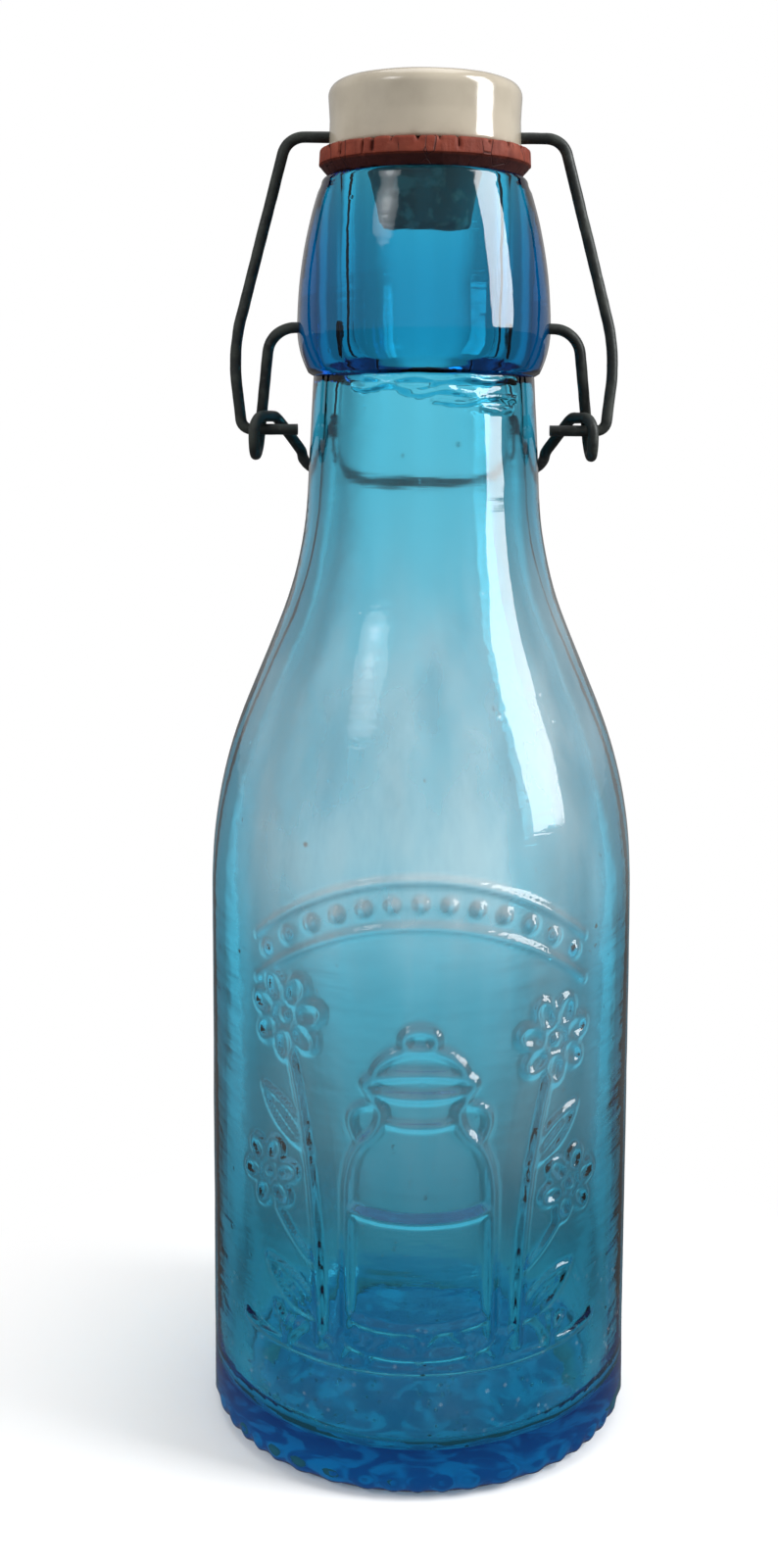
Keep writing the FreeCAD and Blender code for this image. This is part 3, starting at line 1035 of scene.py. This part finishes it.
@dataclass
class GlassBottle:
    """The moulded bottle: one closed shell with its cavity, relief, creases and knurled heel."""

    height: float = 202.4
    body_radius: float = 34.6
    body_height: float = 87.5
    wall: float = 4.0
    low_wall: float = 5.2
    floor: float = 5.0
    heel: float = 4.0
    floor_corner: float = 5.0
    ring_width: float = 4.5
    push_up: float = 2.2
    lean: float = 22.3
    shoulder_radius: float = 82.0
    sweep_radius: float = 62.0
    taper: float = 3.0
    neck_radius: float = 17.6
    finish_height: float = 31.2
    finish_radius: float = 20.2
    ledge: float = 0.9
    ledge_rise: float = 0.54
    pivot_height: float = 178.8
    lip_radius: float = 16.5
    lip_round: float = 1.2
    mouth_round: float = 0.8
    bore: float = 11.6
    bore_lead: float = 4.0
    relief_span: Span = (17.0, 99.0)
    relief_half_width: float = 41.0
    relief_height: float = 1.05
    shallow_from: float = 14.0
    shallow_over: float = 18.0
    shallow_share: float = 0.5
    seam_share: float = 0.22
    seam_half_width: float = 1.3
    seam_stop: float = 2.0
    crease_span: float = 6.5
    knurls: int = 46
    knurl_share: float = 0.36
    knurl_wander: float = 1.6
    knurl_waves: int = 7
    outer_share: float = 0.3
    base_clear: float = 0.2
    cavity_share: float = 0.7
    fine: float = 0.55
    plain: float = 2.0
    cavity_step: float = 3.2
    front_span: float = 140.0
    front_steps: int = 170
    back_steps: int = 76

    @property
    def collar_low(self) -> float:
        """Height of the collar's lower edge."""
        return self.height - self.finish_height

    def shoulder(self, depth: float) -> list[Station]:
        """Tangent points of the shoulder, `depth` inside the glass, from body to finish.

        Args:
            depth: distance inside the outer surface.

        Returns:
            For each point its place and, where an arc leads to it, the arc's centre.
        """
        lean, taper = math.radians(self.lean), math.radians(self.taper)
        finish_low = self.collar_low
        low = (self.body_radius - self.shoulder_radius * (1 - math.cos(lean)),
               self.body_height + self.shoulder_radius * math.sin(lean))
        sweep_in = self.sweep_radius * (math.cos(taper) - math.cos(lean))
        sweep_rise = self.sweep_radius * (math.sin(lean) - math.sin(taper))
        spare = finish_low - sweep_rise - low[1]
        straight_in = low[0] - self.neck_radius - sweep_in
        neck = (spare * math.tan(lean) - straight_in) / (math.tan(lean) - math.tan(taper))
        sweep_end = (self.neck_radius + neck * math.tan(taper), finish_low - neck)
        sweep_start = (sweep_end[0] + sweep_in, sweep_end[1] - sweep_rise)
        low_centre = (self.body_radius - self.shoulder_radius, self.body_height)
        sweep_centre = around(sweep_end, self.sweep_radius, taper)
        return [
            (around((self.body_radius, self.body_height), -depth, 0.0), None),
            (around(low, -depth, lean), low_centre),
            (around(sweep_start, -depth, lean), None),
            (around(sweep_end, -depth, taper), sweep_centre),
            (around((self.neck_radius, finish_low), -depth, taper), None),
        ]

    def outside(self) -> Outline:
        """Draws the outer surface from the middle of the base to the sealing face.

        Returns:
            Its outline.
        """
        ring_outer = self.body_radius - self.heel
        widest = (self.finish_radius, self.pivot_height)
        ledge_edge = (self.neck_radius + self.ledge, self.collar_low + self.ledge_rise)
        lip_low = (self.lip_radius, self.height - self.lip_round)
        lip_top = (self.lip_radius - self.lip_round, self.height)
        outline = Outline([(0.0, self.push_up)])
        outline.dome_to((ring_outer - self.ring_width, 0.0), step=3.0)
        outline.line_to((ring_outer, 0.0), step=1.2)
        outline.arc_to((self.body_radius, self.heel), (ring_outer, self.heel), step=self.fine)
        outline.line_to((self.body_radius, self.relief_span[0]), step=self.plain * 0.7)
        self.climb(outline, self.shoulder(0.0), self.fine)
        outline.line_to(ledge_edge, step=0.4)
        for end, step in ((widest, 0.7), (lip_low, 1.1)):
            start = outline.points[-1]
            other = start if end == widest else end
            rise, drop = other[1] - widest[1], widest[0] - other[0]
            radius = (rise ** 2 + drop ** 2) / (2 * drop)
            outline.arc_to(end, (widest[0] - radius, widest[1]), step)
        return outline.arc_to(lip_top, (lip_top[0], lip_low[1]), step=0.35)

    def climb(self, outline: Outline, stations: list[Station], fine: float) -> None:
        """Draws the body wall and the shoulder, `fine` over the relief and under the collar.

        Args:
            outline: outline to carry on, at the foot of the wall.
            stations: tangent points from `shoulder`.
            fine: spacing of the points on the body's wall.
        """
        body, low, lean, sweep, neck = stations
        outline.line_to(body[0], fine)
        centre = low[1]
        radius = math.dist(body[0], centre)
        turn = math.asin((self.relief_span[1] - centre[1]) / radius)
        outline.arc_to(around(centre, radius, turn), centre, fine)
        outline.arc_to(low[0], centre, self.plain)
        outline.line_to(lean[0], self.plain)
        outline.arc_to(sweep[0], sweep[1], self.plain)
        share = 1 - self.crease_span / (neck[0][1] - sweep[0][1])
        outline.line_to(between(sweep[0], neck[0], share), self.plain)
        outline.line_to(neck[0], fine * 0.7)

    def inside(self) -> list[Point]:
        """Draws the cavity.

        Returns:
            Points of its outline from the mouth down to the middle of the floor.
        """
        wall = self.body_radius - self.low_wall
        corner = (wall - self.floor_corner, self.floor + self.floor_corner)
        mouth = (self.bore + self.mouth_round, self.height)
        outline = Outline([(0.0, self.floor + self.push_up)])
        outline.dome_to((corner[0], self.floor), step=2.0)
        outline.arc_to((wall, corner[1]), corner, step=0.8)
        self.climb(outline, self.shoulder(self.wall), self.cavity_step)
        outline.line_to((self.bore, self.collar_low + self.bore_lead), step=1.0)
        outline.line_to((self.bore, self.height - self.mouth_round), step=2.5)
        outline.arc_to(mouth, (mouth[0], self.height - self.mouth_round), step=0.3)
        return outline.points[::-1]

    def surface(self, outline: Outline, places: np.ndarray) -> tuple[np.ndarray, np.ndarray, np.ndarray]:
        """Which vertices are on the outer wall, and where they are on its unrolled surface.

        Args:
            outline: the outer outline.
            places: vertex places in millimetres.

        Returns:
            A mask of outer vertices, then every vertex's distance across from the front and its height.
        """
        radius, up = np.hypot(places[:, 0], places[:, 1]), places[:, 2]
        wall = [p for p in outline.points if p[0] > self.lip_radius - self.lip_round]
        levels = np.array([p[1] for p in wall])
        outer_radius = np.interp(up, levels, np.array([p[0] for p in wall]))
        outer = np.abs(radius - outer_radius) < self.wall * self.outer_share
        turn = np.arctan2(places[:, 1], places[:, 0]) - FRONT
        turn = (turn + math.pi) % (2 * math.pi) - math.pi
        return outer & (up > self.base_clear), turn * radius, up

    def mould_marks(self, across: np.ndarray, up: np.ndarray, radius: np.ndarray) -> np.ndarray:
        """Weights of the seams, the creases under the collar and the knurled heel.

        Args:
            across: distance from the front line at each place, in millimetres.
            up: height of each place.
            radius: distance of each place from the axis.

        Returns:
            Shares of the relief's height.
        """
        turn = across / radius
        seam_gap = (np.abs(turn) - math.pi / 2) * radius
        seams = self.seam_share * hump(seam_gap, self.seam_half_width) ** 2
        marks = seams * (up > self.heel) * (up < self.height - self.seam_stop)
        for crease in CREASES:
            marks = np.maximum(marks, crease.weights(across, up, self.collar_low))
        wander = self.knurl_wander * np.sin(turn * self.knurl_waves)
        knurl = 0.5 + 0.5 * np.cos(turn * self.knurls + wander)
        heel_band = hump(up - self.heel * 0.45, self.heel * 0.5)
        return np.maximum(marks, self.knurl_share * knurl * heel_band)

    def relief_weights(self, outer: np.ndarray, across: np.ndarray, up: np.ndarray) -> np.ndarray:
        """Weights of the raised design, shallower towards its sides.

        Args:
            outer: mask of the vertices on the outer wall.
            across: distance of each vertex from the front line, in millimetres.
            up: height of each vertex.

        Returns:
            Shares of the relief's height.
        """
        low, high = self.relief_span
        front = outer & (up > low) & (up < high) & (np.abs(across) < self.relief_half_width)
        sideways = np.clip((np.abs(across[front]) - self.shallow_from) / self.shallow_over, 0, 1)
        shallow = 1 - self.shallow_share * sideways
        weights = np.zeros(len(across))
        weights[front] = MeadowRelief().draw().weights(across[front], up[front]) * shallow
        return weights

    def build(self) -> bpy.types.Object:
        """Models the bottle, dresses it and puts it in the frame.

        Returns:
            The finished piece.
        """
        outline = self.outside()
        start = FRONT - math.radians(self.front_span / 2)
        sectors = ((self.front_steps, self.front_span), (self.back_steps, FULL_TURN - self.front_span))
        piece = Bench.turn("bottle_glass", outline.points + self.inside(), sectors, start)
        places = Bench.places(piece)
        outer, across, up = self.surface(outline, places)
        marks = np.zeros(len(places))
        radius = np.hypot(places[outer, 0], places[outer, 1])
        marks[outer] = self.mould_marks(across[outer], up[outer], radius)
        raised = np.maximum(self.relief_weights(outer, across, up), marks)
        Bench.raise_by(piece, "relief", raised, self.relief_height)
        Bench.ripple(piece, "mould_waviness", height=0.30, size=26.0)
        Bench.ripple(piece, "cooling_waviness", height=0.07, size=7.0)
        Bench.keep(piece, INSIDE, ~outer & (up > self.floor * self.cavity_share))
        Bench.dress(piece, BlueGlass().material(INSIDE))
        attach(piece, "bottle")
        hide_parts("glass_bottle")
        return piece


@dataclass
class Stopper:
    """The porcelain cap with its plug, and the cracked rubber ring under it."""

    rubber_low: float = 202.45
    rubber_thick: float = 4.2
    rubber_radius: float = 16.9
    rubber_bore: float = 8.45
    rubber_steps: int = 384
    bevel_in: float = 1.5
    bevel_rise: float = 1.7
    rim_round: float = 0.15
    rim_draft: float = 0.1
    top_in: float = 0.6
    top_round: float = 0.5
    cracked_in: float = 1.6
    cap_radius: float = 15.4
    cap_height: float = 11.2
    cap_waist: float = 0.2
    waist_share: float = 0.4
    cap_round: float = 2.3
    cap_steps: int = 144
    foot_draft: float = 0.1
    foot_round: float = 0.6
    crown: float = 0.7
    hole_rise: float = 2.1
    hole_radius: float = 1.0
    plug_neck: float = 8.4
    plug_bead: float = 9.4
    bead_tuck: float = 0.2
    bead_drop: float = 1.0
    plug_length: float = 10.0
    plug_end: float = 7.4
    plug_corner: float = 1.8
    cracks: int = 30
    crack_seed: int = 11
    crack_jitter: float = 0.8
    crack_slant: float = 0.02
    crack_reach: Span = (0.25, 0.75)
    crack_width: Span = (0.25, 0.5)
    crack_share: Span = (0.4, 1.0)
    crack_end: float = 0.2
    crack_depth: float = 0.8
    crack_reach_in: float = 2.2
    crack_fade: float = 0.6

    @property
    def cap_low(self) -> float:
        """Height of the cap's underside."""
        return self.rubber_low + self.rubber_thick

    def cap(self) -> bpy.types.Object:
        """Models the porcelain and drills the bail's hole across it.

        Returns:
            The finished piece.
        """
        low, top = self.cap_low, self.cap_low + self.cap_height
        shelf, end = top - self.crown, self.rubber_low - self.plug_length
        foot, waist = self.cap_radius - self.foot_draft, self.cap_radius - self.cap_waist
        corner_centre = (self.plug_end - self.plug_corner, end + self.plug_corner)
        foot_centre = (foot - self.foot_round, low + self.foot_round)
        round_centre = (self.cap_radius - self.cap_round, shelf - self.cap_round)
        outline = Outline([(0.0, end)])
        outline.line_to((corner_centre[0], end), step=1.0)
        outline.arc_to((self.plug_end, corner_centre[1]), corner_centre, step=0.4)
        outline.line_to((self.plug_bead - self.bead_tuck, self.rubber_low - self.bead_drop), step=0.8)
        outline.line_to((self.plug_neck, self.rubber_low), step=0.3)
        outline.line_to((self.plug_neck, low), step=0.8)
        outline.line_to((foot_centre[0], low), step=0.8)
        outline.arc_to((foot, foot_centre[1]), foot_centre, step=0.2)
        outline.line_to((waist, low + self.cap_height * self.waist_share), step=0.5)
        outline.line_to((self.cap_radius, round_centre[1]), step=0.5)
        outline.arc_to((round_centre[0], shelf), round_centre, step=0.3)
        outline.dome_to((0.0, top), step=0.9)
        piece = Bench.turn("stopper_porcelain", outline.points, ((self.cap_steps, FULL_TURN),))
        Bench.ripple(piece, "glaze_unevenness", height=0.16, size=8.0)
        Bench.drill(piece, (0.0, 0.0, low + self.hole_rise), self.hole_radius, 4 * self.cap_radius)
        Bench.smooth(piece, 40)
        return self.place(piece, Porcelain().material(low), "porcelain_stopper", "porcelain")

    def rubber(self) -> bpy.types.Object:
        """Models the rubber ring with its bevelled lower edge and radial cracks.

        Returns:
            The finished piece.
        """
        low, top, outer = self.rubber_low, self.cap_low, self.rubber_radius
        rim = low + self.bevel_rise
        rim_centre = (outer - self.rim_round, rim + self.rim_round)
        top_centre = (outer - self.top_in, top - self.top_round)
        outline = Outline([(self.rubber_bore, low)])
        outline.line_to((outer - self.bevel_in, low), step=1.2)
        outline.line_to((rim_centre[0], rim), step=0.4)
        outline.arc_to((outer, rim_centre[1]), rim_centre, step=0.08)
        outline.line_to((outer - self.rim_draft, top_centre[1]), step=0.35)
        outline.arc_to((top_centre[0], top), top_centre, step=0.2)
        outline.line_to((outer - self.cracked_in, top), step=0.3)
        outline.line_to((self.rubber_bore, top), step=1.6)
        outline.line_to((self.rubber_bore, low), step=1.4)
        piece = Bench.turn("gasket_rubber", outline.points, ((self.rubber_steps, FULL_TURN),))
        cracks = self.crack_weights(Bench.places(piece))
        Bench.keep(piece, CRACK, cracks)
        Bench.raise_by(piece, "cracks", cracks, -self.crack_depth)
        Bench.ripple(piece, "dried_rubber", height=0.22, size=2.6)
        Bench.smooth(piece, 50)
        return self.place(piece, AgedRubber().material(rim, top, CRACK), "rubber_gasket", "red_rubber")

    def crack_weights(self, places: np.ndarray) -> np.ndarray:
        """Depth of the cracks in the ring's rim.

        Args:
            places: vertex places in millimetres.

        Returns:
            Share of the full depth at each place, 0 to 1.
        """
        random = np.random.default_rng(self.crack_seed)
        radius = np.hypot(places[:, 0], places[:, 1])
        turn = np.arctan2(places[:, 1], places[:, 0])
        level = (places[:, 2] - self.rubber_low) / self.rubber_thick
        weights = np.zeros(len(places))
        for index in range(self.cracks):
            angle = 2 * math.pi * (index + random.uniform(0.0, self.crack_jitter)) / self.cracks
            slant = random.uniform(-self.crack_slant, self.crack_slant)
            reach = random.uniform(*self.crack_reach)
            width = random.uniform(*self.crack_width)
            gap = np.abs((turn - angle - slant * level + math.pi) % (2 * math.pi) - math.pi) * radius
            share = random.uniform(*self.crack_share)
            deep = np.clip((level - 1 + reach) / self.crack_end, 0, 1) * share
            weights = np.maximum(weights, deep * np.clip(1 - gap / width, 0, 1))
        start = self.rubber_radius - self.crack_reach_in
        return weights * np.clip((radius - start) / self.crack_fade, 0, 1)

    @staticmethod
    def place(piece: bpy.types.Object, material: bpy.types.Material, node: str,
              slot: str) -> bpy.types.Object:
        """Dresses a piece and puts it on the stopper's body.

        Args:
            piece: object to dress.
            material: its material.
            node: the frame's piece that it stands for.
            slot: not used.

        Returns:
            The piece.
        """
        Bench.dress(piece, material)
        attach(piece, "stopper")
        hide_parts(node)
        return piece

    def build(self) -> list[bpy.types.Object]:
        """Models both pieces."""
        return [self.cap(), self.rubber()]


@dataclass
class WireWork:
    """The lever and the bail, each bent from one length of round wire."""

    radius: float = 0.9
    gap: float = 0.3
    pivot_height: float = 178.8
    socket: float = 18.3
    arm_reach: float = 24.8
    arm_bend: float = 4.5
    eye: Point3 = (27.1, -0.8, 161.5)
    eye_radius: float = 3.1
    eye_crossing: float = 3.0
    eye_bend_share: float = 0.96
    eye_exit_share: float = 0.9
    crossing_bend: float = 1.6
    tail_side: Point3 = (20.14, 5.0, 159.0)
    tail_side_bend: float = 2.5
    tail_back: float = 19.83
    tail_height: float = 153.4
    tail_bend: float = 13.0
    pin_height: float = 162.5
    pin_length: float = 9.0
    pin_bend: float = 1.7
    hole_height: float = 208.75
    bail_shoulder: float = 22.0
    shoulder_bend: float = 3.5
    bail_knee: Point = (30.8, 175.05)
    knee_bend: float = 30.0
    step: float = 0.45
    least_run: float = 0.02
    section_steps: int = 5

    def route(self, half: Sequence[Vector], bends: Sequence[float]) -> list[Vector]:
        """Straight runs joined by tangent arcs, mirrored from the right half.

        Args:
            half: corner points from the right end to the last one before the middle.
            bends: bend radius at each corner after the first.

        Returns:
            Points along the whole wire.
        """
        corners = list(half) + [Vector((-p.x, p.y, p.z)) for p in reversed(half)]
        radii = list(bends) + list(reversed(bends))
        points = [corners[0]]
        for before, corner, after, bend in zip(corners, corners[1:], corners[2:], radii):
            into, away = (corner - before).normalized(), (after - corner).normalized()
            half_turn = into.angle(away) / 2
            inward = (away - into).normalized()
            centre = corner + inward * (bend / math.cos(half_turn))
            first = corner - into * bend * math.tan(half_turn)
            spoke, side = first - centre, into * bend
            count = max(3, math.ceil(2 * half_turn * bend / self.step))
            for index in range(count + 1):
                angle = 2 * half_turn * index / count
                points.append(centre + spoke * math.cos(angle) + side * math.sin(angle))
        points.append(corners[-1])
        return self.divided(points)

    def divided(self, points: Sequence[Vector]) -> list[Vector]:
        """Adds points along the long runs, so that the wire's surface has an even mesh.

        Args:
            points: points along the wire.

        Returns:
            The same line with more points, and without doubled ones.
        """
        result = [points[0]]
        for before, after in zip(points, points[1:]):
            length = (after - before).length
            if length < self.least_run:
                continue
            count = max(1, math.ceil(length / (2 * self.step)))
            result += [before.lerp(after, index / count) for index in range(1, count + 1)]
        return result

    def draw_wire(self, name: str, half: Sequence[Vector], bends: Sequence[float]) -> bpy.types.Object:
        """Draws a wire's line, gives it a round section and makes it a closed mesh.

        Args:
            name: name of the new object.
            half: as in route.
            bends: as in route.

        Returns:
            The wire.
        """
        piece = Bench.draw_line(name, self.route(half, bends))
        Bench.take(piece)
        bpy.ops.object.convert(target="CURVE")
        piece = bpy.context.object
        piece.data.bevel_depth = self.radius * MM
        piece.data.bevel_resolution = self.section_steps
        piece.data.use_fill_caps = True
        bpy.ops.object.convert(target="MESH")
        piece = Bench.named(name)
        bpy.ops.object.mode_set(mode="EDIT")
        Bench.close_shell(smooth_degrees=40.0)
        Bench.ripple(piece, name + "_scale", height=0.11, size=2.2)
        return piece

    def lever(self) -> bpy.types.Object:
        """Models the lever: socket ends, arms, eyes and the tail behind the neck.

        Returns:
            The finished piece.
        """
        x, y, z = self.eye
        back, front = y + self.eye_radius, y - self.eye_radius
        low, high = z - self.eye_radius, z + self.eye_radius
        corners = [
            Vector((self.socket, 0, self.pivot_height)), Vector((self.arm_reach, 0, self.pivot_height)),
            Vector((x, back, low)), Vector((x, front, low)), Vector((x, front, high)),
            Vector((x - self.eye_crossing, back - self.gap, high)), Vector(self.tail_side),
            Vector((self.tail_side[0], self.tail_back, self.tail_height)),
        ]
        round_eye = self.eye_radius * self.eye_bend_share
        bends = [self.arm_bend, round_eye, round_eye, round_eye * self.eye_exit_share,
                 self.crossing_bend, self.tail_side_bend, self.tail_bend]
        return self.place(self.draw_wire("lever_steel", corners, bends), "lever", "lever_wire")

    def bail(self) -> bpy.types.Object:
        """Models the bail: across the stopper, down both sides and in through the eyes.

        Returns:
            The finished piece.
        """
        pin_x = self.eye[0] + 2 * self.radius + 1.5 * self.gap
        corners = [
            Vector((pin_x - self.pin_length, self.eye[1], self.pin_height)),
            Vector((pin_x, self.eye[1], self.pin_height)),
            Vector((self.bail_knee[0], self.eye[1] / 2, self.bail_knee[1])),
            Vector((self.bail_shoulder, 0, self.hole_height)),
        ]
        bends = [self.pin_bend, self.knee_bend, self.shoulder_bend]
        return self.place(self.draw_wire("bail_steel", corners, bends), "bail", "bail_wire")

    @staticmethod
    def place(piece: bpy.types.Object, body: str, node: str) -> bpy.types.Object:
        """Dresses a wire and puts it on its body.

        Args:
            piece: object to dress.
            body: the frame's body that it moves with.
            node: the frame's piece that it stands for.

        Returns:
            The piece.
        """
        Bench.dress(piece, DarkWire().material())
        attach(piece, body)
        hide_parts(node)
        return piece

    def build(self) -> list[bpy.types.Object]:
        """Models both wires."""
        return [self.lever(), self.bail()]


class LampShape(Enum):
    """Outline of a soft lamp."""

    PANEL = "RECTANGLE"
    OVAL = "ELLIPSE"


@dataclass(frozen=True)
class SoftLamp:
    """An area lamp in metres and watts; one that doesn't show is not mirrored or seen through glass."""

    name: str
    place: Point3
    aim: Point3
    size: Point
    watts: float
    shape: LampShape = LampShape.PANEL
    shows: bool = True

    def hang(self) -> None:
        """Adds the lamp to the scene, turned to its aim."""
        data = bpy.data.lights.new(self.name, "AREA")
        data.shape = self.shape.value
        data.size, data.size_y = self.size
        data.energy = self.watts
        lamp = bpy.data.objects.new(self.name, data)
        lamp.location = self.place
        lamp.rotation_euler = (Vector(self.aim) - Vector(self.place)).to_track_quat("-Z", "Y").to_euler()
        lamp.visible_glossy = self.shows
        lamp.visible_transmission = self.shows
        bpy.context.scene.collection.objects.link(lamp)


@dataclass
class Studio:
    """White surroundings, a tall window light on the right, a soft one on the left, and the camera.

    A floor span is a pair of distances from the bottle's axis in metres.
    """

    camera_back: float = 283.0
    camera_height: float = 164.3
    pitch_down: float = 0.109
    roll: float = 0.0056
    focal_pixels: float = 1773.0
    centre_pixel: Point = (432.4, 621.5)
    frame_pixels: Point = (794.0, 1600.0)
    sensor: float = 36.0
    nearest: float = 0.01
    window: SoftLamp = SoftLamp("window", (0.86, -0.24, 0.60), (0.0, 0.0, 0.17), (0.42, 0.95), 14.5)
    fill: SoftLamp = SoftLamp("fill", (-0.95, -0.45, 0.50), (0.0, 0.0, 0.2), (0.7, 0.7), 6.0, shows=False)
    top: SoftLamp = SoftLamp("top", (0.0, 0.15, 1.3), (0.0, 0.0, 0.1), (0.9, 0.9), 4.0)
    left_place: Point3 = (-0.62, -0.66, 0.78)
    left_aim: Point3 = (0.0, 0.0, 0.12)
    left_size: Point = (0.40, 0.32)
    left_watts: float = 0.7
    left_shares: tuple[float, ...] = (0.35, 0.6, 0.85, 1.1)
    room: float = 0.5
    gloss_room: float = 0.35
    panel_gap: Span = (-0.35, 0.8)
    gap_brightness: float = 0.52
    side_panels: float = 0.75
    floor_size: float = 8.0
    floor_colour: Colour = (0.93, 0.93, 0.93)
    floor_gloss: float = 0.12
    lit_floor: Span = (0.035, 0.10)
    panel_floor: Span = (0.037, 0.075)
    floor_beneath: Span = (0.026, 0.036)
    beneath_brightness: float = 0.3
    near_floor: Span = (0.03, 0.30)
    near_brightness: float = 0.42
    sideways_glow: float = 0.45

    def camera(self) -> None:
        """Sets up the camera of the photograph."""
        data = bpy.data.cameras.new("camera")
        long_side = self.frame_pixels[1]
        data.sensor_width = self.sensor
        data.lens = self.focal_pixels / long_side * self.sensor
        data.shift_x = (self.frame_pixels[0] / 2 - self.centre_pixel[0]) / long_side
        data.shift_y = (self.centre_pixel[1] - self.frame_pixels[1] / 2) / long_side
        data.clip_start = self.nearest
        camera = bpy.data.objects.new("camera", data)
        camera.rotation_mode = "XYZ"
        camera.rotation_euler = (math.pi / 2 - self.pitch_down, -self.roll, 0.0)
        camera.location = Vector((0.0, -self.camera_back, self.camera_height)) * MM
        bpy.context.scene.collection.objects.link(camera)
        bpy.context.scene.camera = camera

    def lamps(self) -> None:
        """Adds the window, a lamp on the left whose edge fades in steps, a fill and the top light."""
        self.window.hang()
        for index, share in enumerate(self.left_shares):
            size = (self.left_size[0] * share, self.left_size[1] * share)
            SoftLamp(f"left_{index}", self.left_place, self.left_aim, size, self.left_watts * share,
                     LampShape.OVAL).hang()
        self.fill.hang()
        self.top.hang()

    def panels(self, across: Signal, along: Signal) -> Signal:
        """Brightness of six white panels round the bottle, the first two in front and behind.

        Args:
            across: X of the direction.
            along: Y of the direction.

        Returns:
            1 towards a panel's middle, falling to the gap's brightness between two panels.
        """
        share = along * along * (across * across + along * along + TINY) ** -1.0
        # The cosine of six times the angle, as a polynomial of the squared cosine.
        wave = ((share * 32.0 - 48.0) * share + 18.0) * share - 1.0
        sides = share * (1.0 - self.side_panels) + self.side_panels
        return wave.step(*self.panel_gap, self.gap_brightness, 1.0) * sides

    def world(self) -> None:
        """Makes the surroundings white to the camera, panels to glass and dimmer as light and to gloss."""
        paint = Painter("studio", is_world=True)
        way = paint.node("ShaderNodeTexCoord", out="Generated")
        across, along = (paint.node("ShaderNodeSeparateXYZ", None, {0: way}, name) for name in "XY")
        camera, glossy, through = paint.rays()
        reflected = glossy * self.gloss_room + (1.0 - glossy) * self.room
        unseen = through * self.panels(across, along) + (1.0 - through) * reflected
        paint.finish(paint.node("ShaderNodeBackground", None, {
            "Color": WHITE, "Strength": camera + (1.0 - camera) * unseen}))
        bpy.context.scene.world = paint.material

    def floor_glow(self, paint: Painter, reach: Signal) -> Signal:
        """Brightness of the floor through glass: dim beneath the bottle, with the panels further out.

        Args:
            paint: painter of the floor.
            reach: distance from the bottle's axis, in metres.

        Returns:
            The brightness, where 1 is white.
        """
        across, along = paint.axis("X"), paint.axis("Y")
        beyond = reach.step(*self.panel_floor)
        sideways = across * across * (reach * reach + TINY) ** -1.0
        beneath = reach.step(*self.floor_beneath, self.beneath_brightness, 1.0)
        near = reach.step(*self.near_floor, self.near_brightness, 1.0)
        brightness = near * (sideways * self.sideways_glow + 1.0)
        return brightness * (beyond * self.panels(across, along) + (1.0 - beyond)) * beneath

    def floor(self) -> None:
        """Adds the pale floor: white away from the bottle, and lit by the panels where glass shows it."""
        Bench.clear()
        bpy.ops.mesh.primitive_plane_add(size=self.floor_size)
        floor = Bench.named("floor")
        paint = Painter("pale_floor")
        reach = paint.length(paint.place())
        camera, glossy, through = paint.rays()
        unseen = through * self.floor_glow(paint, reach) + (1.0 - through) * self.floor_gloss
        lit = paint.node("ShaderNodeBsdfDiffuse", None, {"Color": (*self.floor_colour, 1.0)})
        white = paint.node("ShaderNodeEmission", None, {
            "Color": WHITE, "Strength": camera + (1.0 - camera) * unseen})
        paint.finish(paint.blend(reach.step(*self.lit_floor).larger(through).larger(glossy), lit, white))
        floor.data.materials.append(paint.material)

    def build(self) -> None:
        """Sets up everything around the bottle."""
        bpy.context.scene.view_settings.view_transform = "Standard"
        self.world()
        self.floor()
        self.lamps()
        self.camera()


def main() -> None:
    """Builds the bottle, its closure and the studio, in that order."""
    logging.basicConfig(level=logging.INFO)
    pieces = [GlassBottle().build(), *Stopper().build(), *WireWork().build()]
    for piece in pieces:
        LOG.info("%s: %d faces", piece.name, len(piece.data.polygons))
    Studio().build()


if __name__ == "__main__":
    main()
